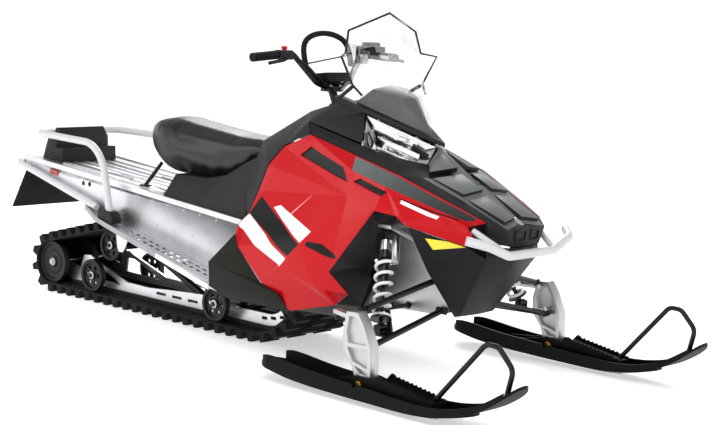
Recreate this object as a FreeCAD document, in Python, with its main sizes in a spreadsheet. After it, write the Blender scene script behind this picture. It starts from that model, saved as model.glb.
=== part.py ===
import FreeCAD, Part
import math
import os
from FreeCAD import Placement, Rotation, Vector

# Snowmobile with a long track. +X is forward, +Y is left, +Z is up, in millimetres.
# The origin lies on the snow under the middle of the machine.

doc = FreeCAD.newDocument("Snowmobile")

# Driving sizes. Each row is an alias, its value and what it measures.
SIZES = [
    ("ski_stance", 1080, "between the centrelines of the two skis"),
    ("ski_length", 1140, "ski from tail to tip, along the ground"),
    ("ski_width", 132, "ski across its side walls"),
    ("ski_sheet", 11, "thickness of the ski's bottom"),
    ("ski_side_wall", 8, "thickness of the ski's side walls"),
    ("ski_rib", 8, "thickness of each saddle rib"),
    ("saddle_gap", 58, "between the two saddle ribs"),
    ("wear_bar_width", 10, "steel runner under the keel"),
    ("wear_bar_depth", 8, "how far the runner stands below the keel"),
    ("ski_bolt_radius", 8, "bolt that carries the ski"),
    ("ski_bolt_forward", 919, "ski bolt, forward of the origin"),
    ("ski_bolt_height", 67, "ski bolt above the snow"),
    ("loop_tube_radius", 9, "tube of the ski's handle loop"),
    ("kingpin_tilt", 25, "lean of the kingpin in degrees, top to the rear"),
    ("kingpin_forward", 900, "lower ball joint, forward of the origin"),
    ("kingpin_height", 186, "lower ball joint above the snow"),
    ("kingpin_offset", 40, "kingpin inside the ski's centreline"),
    ("spindle_thickness", 44, "cast spindle, across"),
    ("spindle_web", 9, "web left between the spindle's pockets"),
    ("tie_rod_height", 262, "tie rod above the snow"),
    ("tie_rod_radius", 8, "tie rod"),
    ("arm_tube_radius", 13, "tubes of the front suspension arms"),
    ("shock_radius", 19, "body of the front shock absorbers"),
    ("spring_radius", 30, "middle of the wire in the front springs"),
    ("spring_wire_radius", 5.5, "wire of the front springs"),
    ("spring_turns", 6, "turns in a front spring"),
    ("bulkhead_width", 256, "front bulkhead, across its plates"),
    ("bulkhead_wall", 4, "bulkhead plates"),
    ("track_width", 381, "track across its belt"),
    ("belt_thickness", 8, "rubber belt without its lugs"),
    ("lug_height", 33, "lugs outside the belt"),
    ("lug_rows", 57, "rows of lugs round the belt"),
    ("lug_strip", 84, "width of each of the three lugs in a row"),
    ("idler_radius", 91, "rear idler wheels"),
    ("idler_back", -1306, "axle of the rear idlers"),
    ("rail_wheel_radius", 70, "wheels beside the rails"),
    ("carrier_radius", 66, "wheels that carry the upper run"),
    ("wheel_width", 24, "all of the small wheels"),
    ("sprocket_radius", 82, "drive sprockets"),
    ("sprocket_forward", 201, "drive axle, forward of the origin"),
    ("sprocket_height", 250, "drive axle above the snow"),
    ("rail_bow_radius", 200, "upward bend at the front of the rails"),
    ("rail_spacing", 220, "between the two slide rails"),
    ("rail_thickness", 9, "aluminium of a slide rail"),
    ("runner_height", 18, "plastic runner between rail and belt"),
    ("tunnel_side_gap", 16.5, "between the track's edge and the tunnel's side"),
    ("tunnel_wall", 3, "tunnel sheet"),
    ("deck_height", 473, "tunnel deck at the seat's front"),
    ("deck_rise", 0.083, "rise of the deck towards the rear, per length"),
    ("board_slope", 11.68, "slope of the running boards in degrees"),
    ("board_height", 266, "running board above the snow at its middle"),
    ("board_sheet", 4, "running board plate"),
    ("board_edge", 24, "width of the running board's rolled edge"),
    ("grip_slot_pitch", 42, "between the slots of a running board"),
    ("grip_slot_count", 13, "slots in a row of a running board"),
    ("accessory_spacing", 42, "between the two accessory holes of a side"),
    ("accessory_radius", 4, "accessory holes in the tunnel's sides"),
    ("bumper_radius", 14, "rear bumper tube"),
    ("cargo_rail_radius", 15, "cargo rail tube"),
    ("front_bumper_radius", 16, "front bumper tube"),
    ("panel_wall", 4, "moulded body panels"),
    ("panel_gap", 1, "gap between neighbouring body panels"),
    ("body_width", 790, "red side panels at their widest"),
    ("screen_wall", 3, "windshield"),
    ("bar_radius", 11, "handlebar tube"),
    ("bar_width", 794, "handlebar over its grips"),
    ("grip_radius", 17, "handlebar grips"),
    ("grip_length", 122, "handlebar grips"),
    ("post_radius", 16, "steering post"),
    ("post_lean", 25.7, "steering post from upright in degrees, foot forward"),
    ("running_gap", 0.3, "clearance of pins and of parts that rest on each other"),
    ("clearance", 6, "clearance of parts that move past each other"),
    ("tunnel_width", "=track_width + 2 * (tunnel_side_gap + tunnel_wall)", "tunnel, outside"),
]

sheet = doc.addObject("Spreadsheet::Sheet", "Sizes")
for row, (alias, value, note) in enumerate(SIZES, start=1):
    sheet.set("A%d" % row, alias)
    sheet.set("B%d" % row, str(value))
    sheet.set("C%d" % row, note)
    sheet.setAlias("B%d" % row, alias)
doc.recompute()


def size(alias):
    return float(sheet.get(alias))


SIDES = (("right", -1), ("left", 1))
nodes = []


# Helpers

def keep(label, shape):
    """Adds a finished sub-part to the document under its own label."""
    item = doc.addObject("Part::Feature", label)
    item.Label = label
    item.Shape = shape
    nodes.append(item)
    return item


def mirrored(shape):
    return shape.mirror(Vector(0, 0, 0), Vector(0, 1, 0))


def both(shape):
    """A right-hand piece and its mirror image, as two solids of one node."""
    return Part.makeCompound([shape, mirrored(shape)])


def prism(outline, low, high):
    """Extrudes an outline of (x, z) points from y = low to y = high."""
    corners = [Vector(x, low, z) for x, z in outline]
    face = Part.Face(Part.makePolygon(corners + corners[:1]))
    return face.extrude(Vector(0, high - low, 0))


def block(x_low, x_high, y_low, y_high, z_low, z_high):
    return Part.makeBox(x_high - x_low, y_high - y_low, z_high - z_low,
                        Vector(x_low, y_low, z_low))


def rod(start, end, radius):
    start = Vector(*start)
    run = Vector(*end) - start
    return Part.makeCylinder(radius, run.Length, start, run)


def fused(shapes):
    solid = shapes[0].multiFuse(shapes[1:])
    return solid.removeSplitter()


def tube(route, radius, bends):
    """Sweeps a round tube along straight runs joined by arcs, with one bend radius for each corner."""
    points = [Vector(*point) for point in route]
    edges = []
    start = points[0]
    for before, corner, after, bend in zip(points, points[1:], points[2:], bends):
        back = (before - corner).normalize()
        ahead = (after - corner).normalize()
        half = back.getAngle(ahead) / 2
        shorter = min((before - corner).Length, (after - corner).Length)
        reach = min(bend / math.tan(half), 0.48 * shorter)
        entry = corner + back * reach
        leave = corner + ahead * reach
        middle_way = (back + ahead).normalize()
        arc_radius = reach * math.tan(half)
        middle = corner + middle_way * (arc_radius / math.sin(half) - arc_radius)
        edges.append(Part.LineSegment(start, entry).toShape())
        edges.append(Part.Arc(entry, middle, leave).toShape())
        start = leave
    edges.append(Part.LineSegment(start, points[-1]).toShape())
    path = Part.Wire(edges)
    ring = Part.Wire(Part.makeCircle(radius, points[0], points[1] - points[0]))
    return path.makePipeShell([ring], True, True)


def solid_from(triangles):
    """Sews triangles that close a volume into a solid."""
    faces = [Part.Face(Part.makePolygon([a, b, c, a])) for a, b, c in triangles]
    shell = Part.makeCompound(faces)
    shell.sewShape()
    solid = Part.Solid(shell.Shells[0] if shell.Shells else Part.makeShell(faces))
    if solid.Volume < 0:
        solid.reverse()
    return solid


def thick_panel(points, faces, wall):
    """A faceted panel of even thickness. Faces turn counter-clockwise seen from outside."""
    points = {name: Vector(*place) for name, place in points.items()}
    triangles = []
    for face in faces:
        for second, third in zip(face[1:], face[2:]):
            triangles.append((face[0], second, third))
    normals = {name: [] for name in points}
    edge_uses = {}
    for triangle in triangles:
        a, b, c = [points[name] for name in triangle]
        normal = (b - a).cross(c - a).normalize()
        for name in triangle:
            normals[name].append(normal)
        for edge in zip(triangle, triangle[1:] + triangle[:1]):
            edge_uses[edge] = True
    inner = {}
    for name, found in normals.items():
        if not found:
            continue
        mean = Vector(0, 0, 0)
        for normal in found:
            mean = mean + normal
        mean.normalize()
        lean = max(0.5, min(mean.dot(normal) for normal in found))
        inner[name] = points[name] - mean * (wall / lean)
    skin = [tuple(points[name] for name in triangle) for triangle in triangles]
    skin += [tuple(inner[name] for name in reversed(triangle)) for triangle in triangles]
    for first, second in edge_uses:
        if (second, first) not in edge_uses:
            skin.append((points[second], points[first], inner[first]))
            skin.append((points[second], inner[first], inner[second]))
    return solid_from(skin)


def with_mirror(points, faces):
    """Adds the left half of a panel that is given by its right half."""
    full = dict(points)
    twin = {}
    for name, (x, y, z) in points.items():
        twin[name] = name if y == 0 else name + "_left"
        full[twin[name]] = (x, -y, z)
    whole = list(faces)
    for face in faces:
        whole.append(tuple(twin[name] for name in reversed(face)))
    return full, whole


def hexahedron(bottom, top):
    """A solid with four-sided ends, such as a tapered block or a wedge."""
    low = [Vector(*point) for point in bottom]
    high = [Vector(*point) for point in top]
    triangles = [(low[0], low[2], low[1]), (low[0], low[3], low[2]),
                 (high[0], high[1], high[2]), (high[0], high[2], high[3])]
    for i in range(4):
        j = (i + 1) % 4
        triangles.append((low[i], low[j], high[j]))
        triangles.append((low[i], high[j], high[i]))
    return solid_from(triangles)


def bound(kind, label, **expressions):
    """A Part primitive whose sizes follow the sheet."""
    item = doc.addObject(kind, label)
    for name, expression in expressions.items():
        item.setExpression(name, expression)
    return item


def plane_of(body, role):
    return [item for item in body.Origin.OriginFeatures if item.Role == role][0]


def outline_sketch(body, label, role, outline, lift=0.0):
    """A closed sketch on one of the body's own origin planes."""
    sketch = body.newObject("Sketcher::SketchObject", label)
    sketch.AttachmentSupport = [(plane_of(body, role), "")]
    sketch.MapMode = "FlatFace"
    sketch.AttachmentOffset = Placement(Vector(0, 0, lift), Rotation())
    corners = [Vector(a, b, 0) for a, b in outline]
    for start, end in zip(corners, corners[1:] + corners[:1]):
        sketch.addGeometry(Part.LineSegment(start, end), False)
    return sketch


def padded(body, sketch, label, length, midplane=True):
    pad = body.newObject("PartDesign::Pad", label)
    pad.Profile = sketch
    pad.Midplane = midplane
    pad.setExpression("Length", length)
    return pad


# Tunnel: a folded sheet with a ribbed deck

def deck(x):
    """Height of the tunnel's deck at a distance forward of the origin."""
    return size("deck_height") + size("deck_rise") * (DECK_FRONT - x)


def board(x):
    """Height of the running boards' upper face."""
    return size("board_height") - math.tan(math.radians(size("board_slope"))) * (x + 250)


DECK_FRONT = -77
TUNNEL_FRONT = 350
TUNNEL_REAR = -1470
BOARD_REAR = -1009
BOARD_FRONT = 28
half_tunnel = size("tunnel_width") / 2
wall = size("tunnel_wall")
rear_foot = board(-930) - size("board_sheet")


def tunnel():
    body = doc.addObject("PartDesign::Body", "tunnel")
    floor_front = board(BOARD_FRONT) - size("board_sheet")
    outline = [(TUNNEL_REAR, deck(TUNNEL_REAR)), (TUNNEL_REAR, deck(TUNNEL_REAR) - 32),
               (-930, rear_foot), (BOARD_FRONT, floor_front), (TUNNEL_FRONT, floor_front),
               (TUNNEL_FRONT, deck(TUNNEL_FRONT))]
    padded(body, outline_sketch(body, "TunnelSide", "XZ_Plane", outline), "TunnelBlock",
           "Sizes.tunnel_width")
    inside = [(TUNNEL_REAR - 60, deck(TUNNEL_REAR - 60) - wall), (TUNNEL_REAR - 60, 0),
              (TUNNEL_FRONT + 60, 0), (TUNNEL_FRONT + 60, deck(TUNNEL_FRONT + 60) - wall)]
    room = body.newObject("PartDesign::Pocket", "TunnelRoom")
    room.Profile = outline_sketch(body, "TunnelInside", "XZ_Plane", inside)
    room.Midplane = True
    room.setExpression("Length", "Sizes.tunnel_width - 2 * Sizes.tunnel_wall")
    rib = [(RIB_REAR, deck(RIB_REAR) - 0.5), (RIB_FRONT, deck(RIB_FRONT) - 0.5),
           (RIB_FRONT, deck(RIB_FRONT) + RIB_HEIGHT), (RIB_REAR, deck(RIB_REAR) + RIB_HEIGHT)]
    for number, place in enumerate((-140, -84, -28, 28, 84, 140)):
        sketch = outline_sketch(body, "DeckRib%d" % number, "XZ_Plane", rib, place - 12)
        pad = body.newObject("PartDesign::Pad", "DeckRibPad%d" % number)
        pad.Profile = sketch
        pad.Length = 24
    break_rear, break_front = RIB_BREAK
    gap_line = [(break_rear, deck(break_rear)), (break_front, deck(break_front)),
                (break_front, deck(break_front) + 2 * RIB_HEIGHT),
                (break_rear, deck(break_rear) + 2 * RIB_HEIGHT)]
    rib_break = body.newObject("PartDesign::Pocket", "RibBreak")
    rib_break.Profile = outline_sketch(body, "RibBreakLine", "XZ_Plane", gap_line)
    rib_break.Midplane = True
    rib_break.Length = 2 * 160
    edge = [(TUNNEL_REAR, deck(TUNNEL_REAR) - 14), (DECK_FRONT + 40, deck(DECK_FRONT + 40) - 14),
            (DECK_FRONT + 40, deck(DECK_FRONT + 40) + 7), (TUNNEL_REAR, deck(TUNNEL_REAR) + 7)]
    for side, place in (("Right", half_tunnel - 8), ("Left", -half_tunnel - 4)):
        sketch = outline_sketch(body, "EdgeBead" + side, "XZ_Plane", edge, place)
        pad = body.newObject("PartDesign::Pad", "EdgeBeadPad" + side)
        pad.Profile = sketch
        pad.Length = 12
    holes = body.newObject("Sketcher::SketchObject", "AccessoryHoles")
    holes.AttachmentSupport = [(plane_of(body, "XZ_Plane"), "")]
    holes.MapMode = "FlatFace"
    for step in (-0.5, 0.5):
        centre = Vector(ACCESSORY[0] + step * size("accessory_spacing"), ACCESSORY[1], 0)
        holes.addGeometry(Part.Circle(centre, Vector(0, 0, 1), size("accessory_radius")), False)
    cut = body.newObject("PartDesign::Pocket", "AccessoryCut")
    cut.Profile = holes
    cut.Midplane = True
    cut.setExpression("Length", "Sizes.tunnel_width + 20")
    nodes.append(body)


ACCESSORY = (-1037, 512)

# The deck's ribs, broken between the luggage deck and the seat.
RIB_REAR = -1278
RIB_FRONT = -600
RIB_BREAK = (-884, -872)
RIB_HEIGHT = 5


# Running boards, in their own sloped placement

def running_board(name, side):
    """A plate with rows of grip slots and a thick rolled outer edge."""
    lean = math.radians(size("board_slope"))
    inner = half_tunnel + size("running_gap")
    reach = size("body_width") / 2 - 29

    def along(x):
        return (x + 250) / math.cos(lean)

    outer = [(BOARD_REAR, half_tunnel + 28), (-864, half_tunnel + 90), (-121, reach), (-77, reach)]
    plate = [(along(-980), side * inner)] + [(along(x), side * y) for x, y in outer]
    plate += [(along(BOARD_FRONT), side * reach), (along(BOARD_FRONT), side * inner)]
    body = doc.addObject("PartDesign::Body", "running_board_" + name)
    padded(body, outline_sketch(body, "BoardPlate", "XY_Plane", plate), "BoardSheet",
           "Sizes.board_sheet", False)
    rim = size("board_edge")
    inside = [(x, y - rim) for x, y in outer]
    edge = [(along(x), side * y) for x, y in outer]
    edge += [(along(x), side * y) for x, y in reversed(inside)]
    bead = body.newObject("PartDesign::Pad", "BoardEdge")
    bead.Profile = outline_sketch(body, "BoardEdgeLine", "XY_Plane", edge, -10)
    bead.Length = 20
    doc.recompute()
    for row, distance in enumerate((40, 74)):
        first = along(-690)
        middle = half_tunnel + distance
        slot = [(first, side * middle - 9), (first + 26, side * middle - 9),
                (first + 26, side * middle + 9), (first, side * middle + 9)]
        sketch = outline_sketch(body, "GripSlot%d" % row, "XY_Plane", slot)
        cut = body.newObject("PartDesign::Pocket", "GripCut%d" % row)
        cut.Profile = sketch
        cut.Midplane = True
        cut.Length = 30
        doc.recompute()
        steps = body.newObject("PartDesign::LinearPattern", "GripRow%d" % row)
        steps.Originals = [cut]
        steps.Direction = (plane_of(body, "X_Axis"), [""])
        steps.Occurrences = int(size("grip_slot_count"))
        steps.Length = size("grip_slot_pitch") * (steps.Occurrences - 1)
        body.Tip = steps
        doc.recompute()
    body.Placement = Placement(Vector(-250, 0, size("board_height") - size("board_sheet")),
                               Rotation(Vector(0, 1, 0), size("board_slope")))
    nodes.append(body)


# Tubes and fittings at the rear

def rear_bumper():
    """A tube that runs back from the boards' tips and closes round the tunnel."""
    reach = half_tunnel + 30
    low = board(-925) + size("bumper_radius") + 6.4
    route = [(-925, -reach, low), (-1515, -reach + 8, 566), (-1515, reach - 8, 566),
             (-925, reach, low)]
    bar = tube(route, size("bumper_radius"), [55, 55])
    lugs = []
    for side in (-1, 1):
        lugs.append(block(-1455, -1425, *sorted((side * (half_tunnel + 4.3), side * (reach - 4))),
                          545, 559))
    return keep("rear_bumper", fused([bar] + lugs))


RAIL_FOOT = (-800, -half_tunnel - 60.9, 412)
RAIL_BEND = (-880, -half_tunnel - 52, 697)


def cargo_rail():
    """The upper loop that carries luggage, bent up from the running boards."""
    rear = half_tunnel + 12
    half_route = [RAIL_FOOT, RAIL_BEND, (-1385, -rear, 703)]
    route = half_route + [(x, -y, z) for x, y, z in reversed(half_route)]
    keep("cargo_rail", tube(route, size("cargo_rail_radius"), [165, 62, 62, 165]))


def rail_feet():
    """Moulded clamps that hold the cargo rail on the running boards."""
    feet = []
    radius = size("cargo_rail_radius") + size("running_gap")
    rise = 6.5 + size("running_gap")
    for side in (-1, 1):
        x_low, x_high = RAIL_FOOT[0] - 50, RAIL_FOOT[0] + 43
        base = [(x_low, board(x_low) + rise), (x_high, board(x_high) + rise), (x_high, 410),
                (x_high - 18, 426), (x_low + 22, 432), (x_low, 424)]
        y_low, y_high = sorted((side * (half_tunnel + 36), side * (half_tunnel + 86)))
        start = (RAIL_FOOT[0], -side * RAIL_FOOT[1], RAIL_FOOT[2])
        bend = (RAIL_BEND[0], -side * RAIL_BEND[1], RAIL_BEND[2])
        socket = rod(between(start, bend, -0.002), bend, radius)
        feet.append(prism(base, y_low, y_high).cut(socket))
    keep("rail_feet", Part.makeCompound(feet))


def snow_flap():
    hang = 6
    top = deck(-1440) - wall - size("running_gap")
    line = [(-1440, top), (-1446, top), (-1482, 520), (-1578, 352), (-1572, 348), (-1476, 517),
            (-1440, 560)]
    half = half_tunnel - wall - hang
    keep("snow_flap", prism(line, -half, half))


def tail_light_housing():
    """A lamp housing with sloped cheeks that stands on the deck under the rail."""
    low = deck(-1370) + 6
    gap = size("running_gap")
    bottom = [(-1425, -150, deck(-1425) + gap), (-1285, -150, deck(-1285) + gap),
              (-1285, 150, deck(-1285) + gap), (-1425, 150, deck(-1425) + gap)]
    shoulder = [(-1412, -148, low + 46), (-1288, -148, low + 52),
                (-1288, 148, low + 52), (-1412, 148, low + 46)]
    ledge = [(-1412, -148, low + 46), (-1340, -148, low + 49),
             (-1340, 148, low + 49), (-1412, 148, low + 46)]
    under_rail = [(-1402, -138, 684.5), (-1332, -138, 684.5), (-1332, 138, 684.5), (-1402, 138, 684.5)]
    neck = [(-1368, -139, 680), (-1333, -139, 680), (-1333, 139, 680), (-1368, 139, 680)]
    top = [(-1367, -126, 722), (-1346, -122, 724), (-1346, 122, 724), (-1367, 126, 722)]
    keep("tail_light_housing", fused([hexahedron(bottom, shoulder), hexahedron(ledge, under_rail),
                                      hexahedron(neck, top)]))


def red_lamps():
    """The tail lamp and the small red markers on the tunnel's sides."""
    lamp = hexahedron([(-1426, -95, 640), (-1411, -95, 640), (-1411, 95, 640), (-1426, 95, 640)],
                      [(-1418, -90, 672), (-1405, -90, 672), (-1405, 90, 672), (-1418, 90, 672)])
    marks = []
    for side in (-1, 1):
        y_low, y_high = sorted((side * (half_tunnel + size("running_gap")), side * (half_tunnel + 6)))
        marks.append(prism([(-1288, 530), (-1236, 526), (-1236, 547), (-1288, 551)], y_low, y_high))
    keep("red_lamps", Part.makeCompound([lamp] + marks))


# Seat

# The cushion's cross sections from tail to front, as (x, top, bottom, half width).
SEAT_SECTIONS = [
    (-818, 765, 712, 36), (-806, 783, 694, 56), (-780, 803, 679, 80), (-740, 820, 657, 108),
    (-700, 828, 635, 127), (-650, 829, 612, 142), (-600, 824, 600.5, 150), (-540, 816, 607, 150),
    (-417, 802, 608, 150), (-348, 796, 609, 148), (-240, 784, 634, 144), (-135, 783, 692, 136),
    (-93, 783, 711.6, 128), (-62, 785.4, 726, 120),
]

# One half of a cross section, as shares of its half width and of its height.
SEAT_HALF = [(0.62, 0), (0.86, 0.12), (0.98, 0.34), (1, 0.6), (0.93, 0.84), (0.7, 0.97)]
SEAT_FRONT_LEAN = 12


def seat():
    """A long cushion with a rounded tail, lofted through its cross sections."""
    section = SEAT_HALF + [(0, 1)] + [(-y, z) for y, z in reversed(SEAT_HALF)]
    wires = []
    for x, top, bottom, half in SEAT_SECTIONS:
        lean = SEAT_FRONT_LEAN if x == SEAT_SECTIONS[-1][0] else 0
        ring = [Vector(x + lean * height, across * half, bottom + (top - bottom) * height)
                for across, height in section]
        wires.append(Part.makePolygon(ring + ring[:1]))
    keep("seat", Part.makeLoft(wires, True, True))


def seat_base():
    """The moulded base between the deck and the cushion."""
    gap = size("running_gap")
    rows = [(-556, 606.4), (-348, 608.4), (-240, 633.4), (-135, 691.2), (-66, 723)]
    shapes = []
    for (x_a, z_a), (x_b, z_b) in zip(rows, rows[1:]):
        bottom = [(x_a, -198, deck(x_a) + gap), (x_b, -198, deck(x_b) + gap),
                  (x_b, 198, deck(x_b) + gap), (x_a, 198, deck(x_a) + gap)]
        top = [(x_a + (14 if x_a == -556 else 0), -140, z_a), (x_b, -140, z_b), (x_b, 140, z_b),
               (x_a + (14 if x_a == -556 else 0), 140, z_a)]
        shapes.append(hexahedron(bottom, top))
    keep("seat_base", fused(shapes))


STAY_FOOT = (-720, 150)


def seat_strut():
    """Two stays that hold up the tail of the seat."""
    stays = []
    for side in (-1, 1):
        foot = deck(STAY_FOOT[0]) + RIB_HEIGHT + size("running_gap")
        stay = rod((STAY_FOOT[0], side * STAY_FOOT[1], foot + 6), (-706, side * 74, 632), 8)
        pad = block(STAY_FOOT[0] - 22, STAY_FOOT[0] + 22, side * STAY_FOOT[1] - 14,
                    side * STAY_FOOT[1] + 14, foot + 1.9, foot + 9)
        stays.append(fused([stay, pad]))
    keep("seat_strut", Part.makeCompound(stays))


# Track and slide frame

belt_inner = size("lug_height") + size("belt_thickness")


def belt_circles():
    """The wheels and the rail's bow that the belt runs round, as (x, z, radius)."""
    bow = size("rail_bow_radius")
    return [(size("idler_back"), belt_inner + size("idler_radius"), size("idler_radius")),
            (BOW_START, belt_inner + bow, bow),
            (size("sprocket_forward"), size("sprocket_height"), size("sprocket_radius")),
            (CARRIER[0], CARRIER[1], size("carrier_radius"))]


BOW_START = -6
CARRIER = (-955, 250)


def belt_line(grow):
    """Points along the belt, offset outwards, with the direction that faces out."""
    rings = belt_circles()
    touch = []
    for (xa, za, ra), (xb, zb, rb) in zip(rings, rings[1:] + rings[:1]):
        run = math.hypot(xb - xa, zb - za)
        heading = math.atan2(zb - za, xb - xa)
        turn = math.asin((ra - rb) / run)
        outward = heading - math.pi / 2 + turn
        touch.append(outward)
    line = []
    for index, (x, z, radius) in enumerate(rings):
        start, end = touch[index - 1], touch[index]
        while end < start:
            end += 2 * math.pi
        steps = max(2, int((end - start) * 6))
        for step in range(steps + 1):
            angle = start + (end - start) * step / steps
            line.append((x + (radius + grow) * math.cos(angle), z + (radius + grow) * math.sin(angle),
                         angle))
    return line


def belt_ring(grow, low, high):
    """The area inside the belt's line, made of straight runs and true arcs, extruded."""
    edges = []
    line = belt_line(grow)
    rings = belt_circles()
    start = 0
    for index, (x, z, radius) in enumerate(rings):
        stop = start
        while stop + 1 < len(line) and ring_of(line[stop + 1], grow) == index:
            stop += 1
        first, last = line[start], line[stop]
        middle_angle = (first[2] + last[2]) / 2
        reach = radius + grow
        middle = Vector(x + reach * math.cos(middle_angle), low, z + reach * math.sin(middle_angle))
        begin, end = Vector(first[0], low, first[1]), Vector(last[0], low, last[1])
        edges.append(Part.Arc(begin, middle, end).toShape())
        following = line[(stop + 1) % len(line)]
        edges.append(Part.LineSegment(end, Vector(following[0], low, following[1])).toShape())
        start = stop + 1
    return Part.Face(Part.Wire(edges)).extrude(Vector(0, high - low, 0))


def ring_of(point, grow):
    """Which of the belt's circles a point of the belt's line lies on."""
    off = []
    for x, z, radius in belt_circles():
        off.append(abs(math.hypot(point[0] - x, point[1] - z) - radius - grow)
                   + abs(x + (radius + grow) * math.cos(point[2]) - point[0])
                   + abs(z + (radius + grow) * math.sin(point[2]) - point[1]))
    return off.index(min(off))


def place_on(line, distance):
    """A point and its outward direction at a distance along a closed line."""
    for (xa, za, aa), (xb, zb, ab) in zip(line, line[1:] + line[:1]):
        run = math.hypot(xb - xa, zb - za)
        if distance <= run and run > 0:
            share = distance / run
            swing = (ab - aa + math.pi) % (2 * math.pi) - math.pi
            return xa + (xb - xa) * share, za + (zb - za) * share, aa + swing * share
        distance -= run
    return line[0]


def loop_length(line):
    return sum(math.hypot(b[0] - a[0], b[1] - a[1]) for a, b in zip(line, line[1:] + line[:1]))


def track():
    """One belt with three lugs across in each row."""
    thickness = size("belt_thickness")
    middle = belt_line(thickness)
    half = size("track_width") / 2
    length = loop_length(middle)
    pitch = length / size("lug_rows")
    foot, crest = 0.30 * pitch, 0.16 * pitch
    tread = []
    for number in range(int(size("lug_rows"))):
        centre = (number + 0.5) * pitch
        for shift, lift in ((-foot, 0), (-crest, size("lug_height")), (crest, size("lug_height")),
                            (foot, 0)):
            x, z, angle = place_on(middle, centre + shift)
            tread.append((x + lift * math.cos(angle), z + lift * math.sin(angle)))
    room = belt_ring(0, -half - 5, half + 5)
    strip = size("lug_strip")
    pieces = [belt_ring(thickness, -half, half)]
    for low, high in ((-half, -half + strip), (-strip / 2, strip / 2), (half - strip, half)):
        pieces.append(prism(tread, low, high))
    print("track loop %.0f mm, pitch %.2f mm" % (length, pitch))
    return keep("track", pieces[0].multiFuse(pieces[1:]).cut(room))


def wheel(x, z, y_low, y_high, radius, hub):
    """A moulded wheel: a tyre ring, a thin web with windows and a hub."""
    start = Vector(x, y_low, z)
    width = y_high - y_low
    along = Vector(0, 1, 0)
    disc = Part.makeCylinder(radius, width, start, along)
    dish = (width - 8) / 2
    for place in (y_low, y_high - dish):
        ring = Part.makeCylinder(radius * 0.80, dish, Vector(x, place, z), along)
        ring = ring.cut(Part.makeCylinder(hub, dish, Vector(x, place, z), along))
        disc = disc.cut(ring)
    for step in range(6):
        angle = math.radians(60 * step)
        reach = (radius * 0.80 + hub) / 2
        disc = disc.cut(Part.makeCylinder(radius * 0.13, width,
                                          Vector(x + reach * math.cos(angle), y_low,
                                                 z + reach * math.sin(angle)), along))
    return disc


def rear_idlers():
    """Three idler wheels on the rear axle."""
    x = size("idler_back")
    z = belt_inner + size("idler_radius")
    radius = size("idler_radius") - size("running_gap")
    width = size("wheel_width")
    wheels = [wheel(x, z, y, y + width, radius, 20) for y in (-176, -width / 2, 176 - width)]
    axle = rod((x, -184, z), (x, 184, z), 11)
    keep("rear_idlers", fused([axle] + wheels))


RAIL_WHEELS = (-1030, -245)


def rail_wheels():
    """Pairs of wheels on stub axles at the sides of the rails."""
    radius = size("rail_wheel_radius")
    z = belt_inner + radius + size("running_gap")
    width = size("wheel_width")
    pieces = []
    for x in RAIL_WHEELS:
        for side in (-1, 1):
            y_low, y_high = sorted((side * 154, side * (154 + width)))
            stub = rod((x, side * (size("rail_spacing") / 2 + size("rail_thickness") / 2 + 0.3), z),
                       (x, side * (160 + width), z), 10)
            pieces.append(fused([stub, wheel(x, z, y_low, y_high, radius, 18)]))
    keep("rail_wheels", Part.makeCompound(pieces))


def carrier_wheels():
    """The wheels that hold up the belt's upper run."""
    x, z = CARRIER
    width = size("wheel_width")
    radius = size("carrier_radius") - size("running_gap")
    wheels = [wheel(x, z, side * 128 - width / 2, side * 128 + width / 2, radius, 18)
              for side in (-1, 1)]
    axle = rod((x, -146, z), (x, 146, z), 10)
    keep("carrier_wheels", fused([axle] + wheels))


def rail_outline(low):
    """Side outline of a slide rail: towers at the rear, a bow at the front."""
    bow = size("rail_bow_radius")
    radius = bow - size("runner_height")
    line = []
    for step in range(7):
        angle = math.radians(6.2 * step)
        line.append((BOW_START + radius * math.sin(angle), belt_inner + bow - radius * math.cos(angle)))
    top = [(BOW_START + (radius - 44) * math.sin(math.radians(a)),
            belt_inner + bow - (radius - 44) * math.cos(math.radians(a))) for a in (36, 27, 18, 9)]
    return ([(-1345, low)] + line + top
            + [(-104, low + 44), (-185, low + 46), (-240, low + 66), (-393, low + 62),
               (-731, low + 38), (-860, low + 40), (-1085, low + 110), (-1115, low + 124),
               (-1160, low + 118), (-1185, low + 60), (-1345, low + 96)])


def slide_rails():
    low = belt_inner + size("runner_height")
    outline = rail_outline(low)
    thickness = size("rail_thickness")
    rails = []
    for side in (-1, 1):
        middle = side * size("rail_spacing") / 2
        rail = prism(outline, middle - thickness / 2, middle + thickness / 2)
        for x, length in ((-16, 30), (34, 30), (82, 26), (-640, 60), (-540, 60), (-440, 60)):
            lift = 18 if x < -100 else 20 + max(0, x) * 0.22
            rail = rail.cut(block(x - length / 2, x + length / 2, middle - 20, middle + 20,
                                  low + lift, low + lift + 13))
        rail = rail.cut(prism([(-1135, low + 30), (-905, low + 22), (-950, low + 44),
                               (-1080, low + 92), (-1128, low + 92)], middle - 20, middle + 20))
        z = belt_inner + size("idler_radius")
        rail = rail.cut(rod((size("idler_back"), middle - 30, z), (size("idler_back"), middle + 30, z),
                            11 + size("running_gap")))
        rails.append(rail)
    keep("slide_rails", Part.makeCompound(rails))


def slide_runners():
    """Plastic runners that the belt slides on."""
    bow = size("rail_bow_radius")
    gap = size("running_gap")
    low = [(-1240, belt_inner + gap)]
    high = [(-1240, belt_inner + size("runner_height") - gap)]
    for step in range(6):
        angle = math.radians(6.2 * step)
        for line, radius in ((low, bow - gap), (high, bow - size("runner_height") + gap)):
            line.append((BOW_START + radius * math.sin(angle),
                         belt_inner + bow - radius * math.cos(angle)))
    middle = size("rail_spacing") / 2
    runner = prism(low + high[::-1], -middle - 10, -middle + 10)
    keep("slide_runners", both(runner))


PIVOT = (-800, 270)


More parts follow.
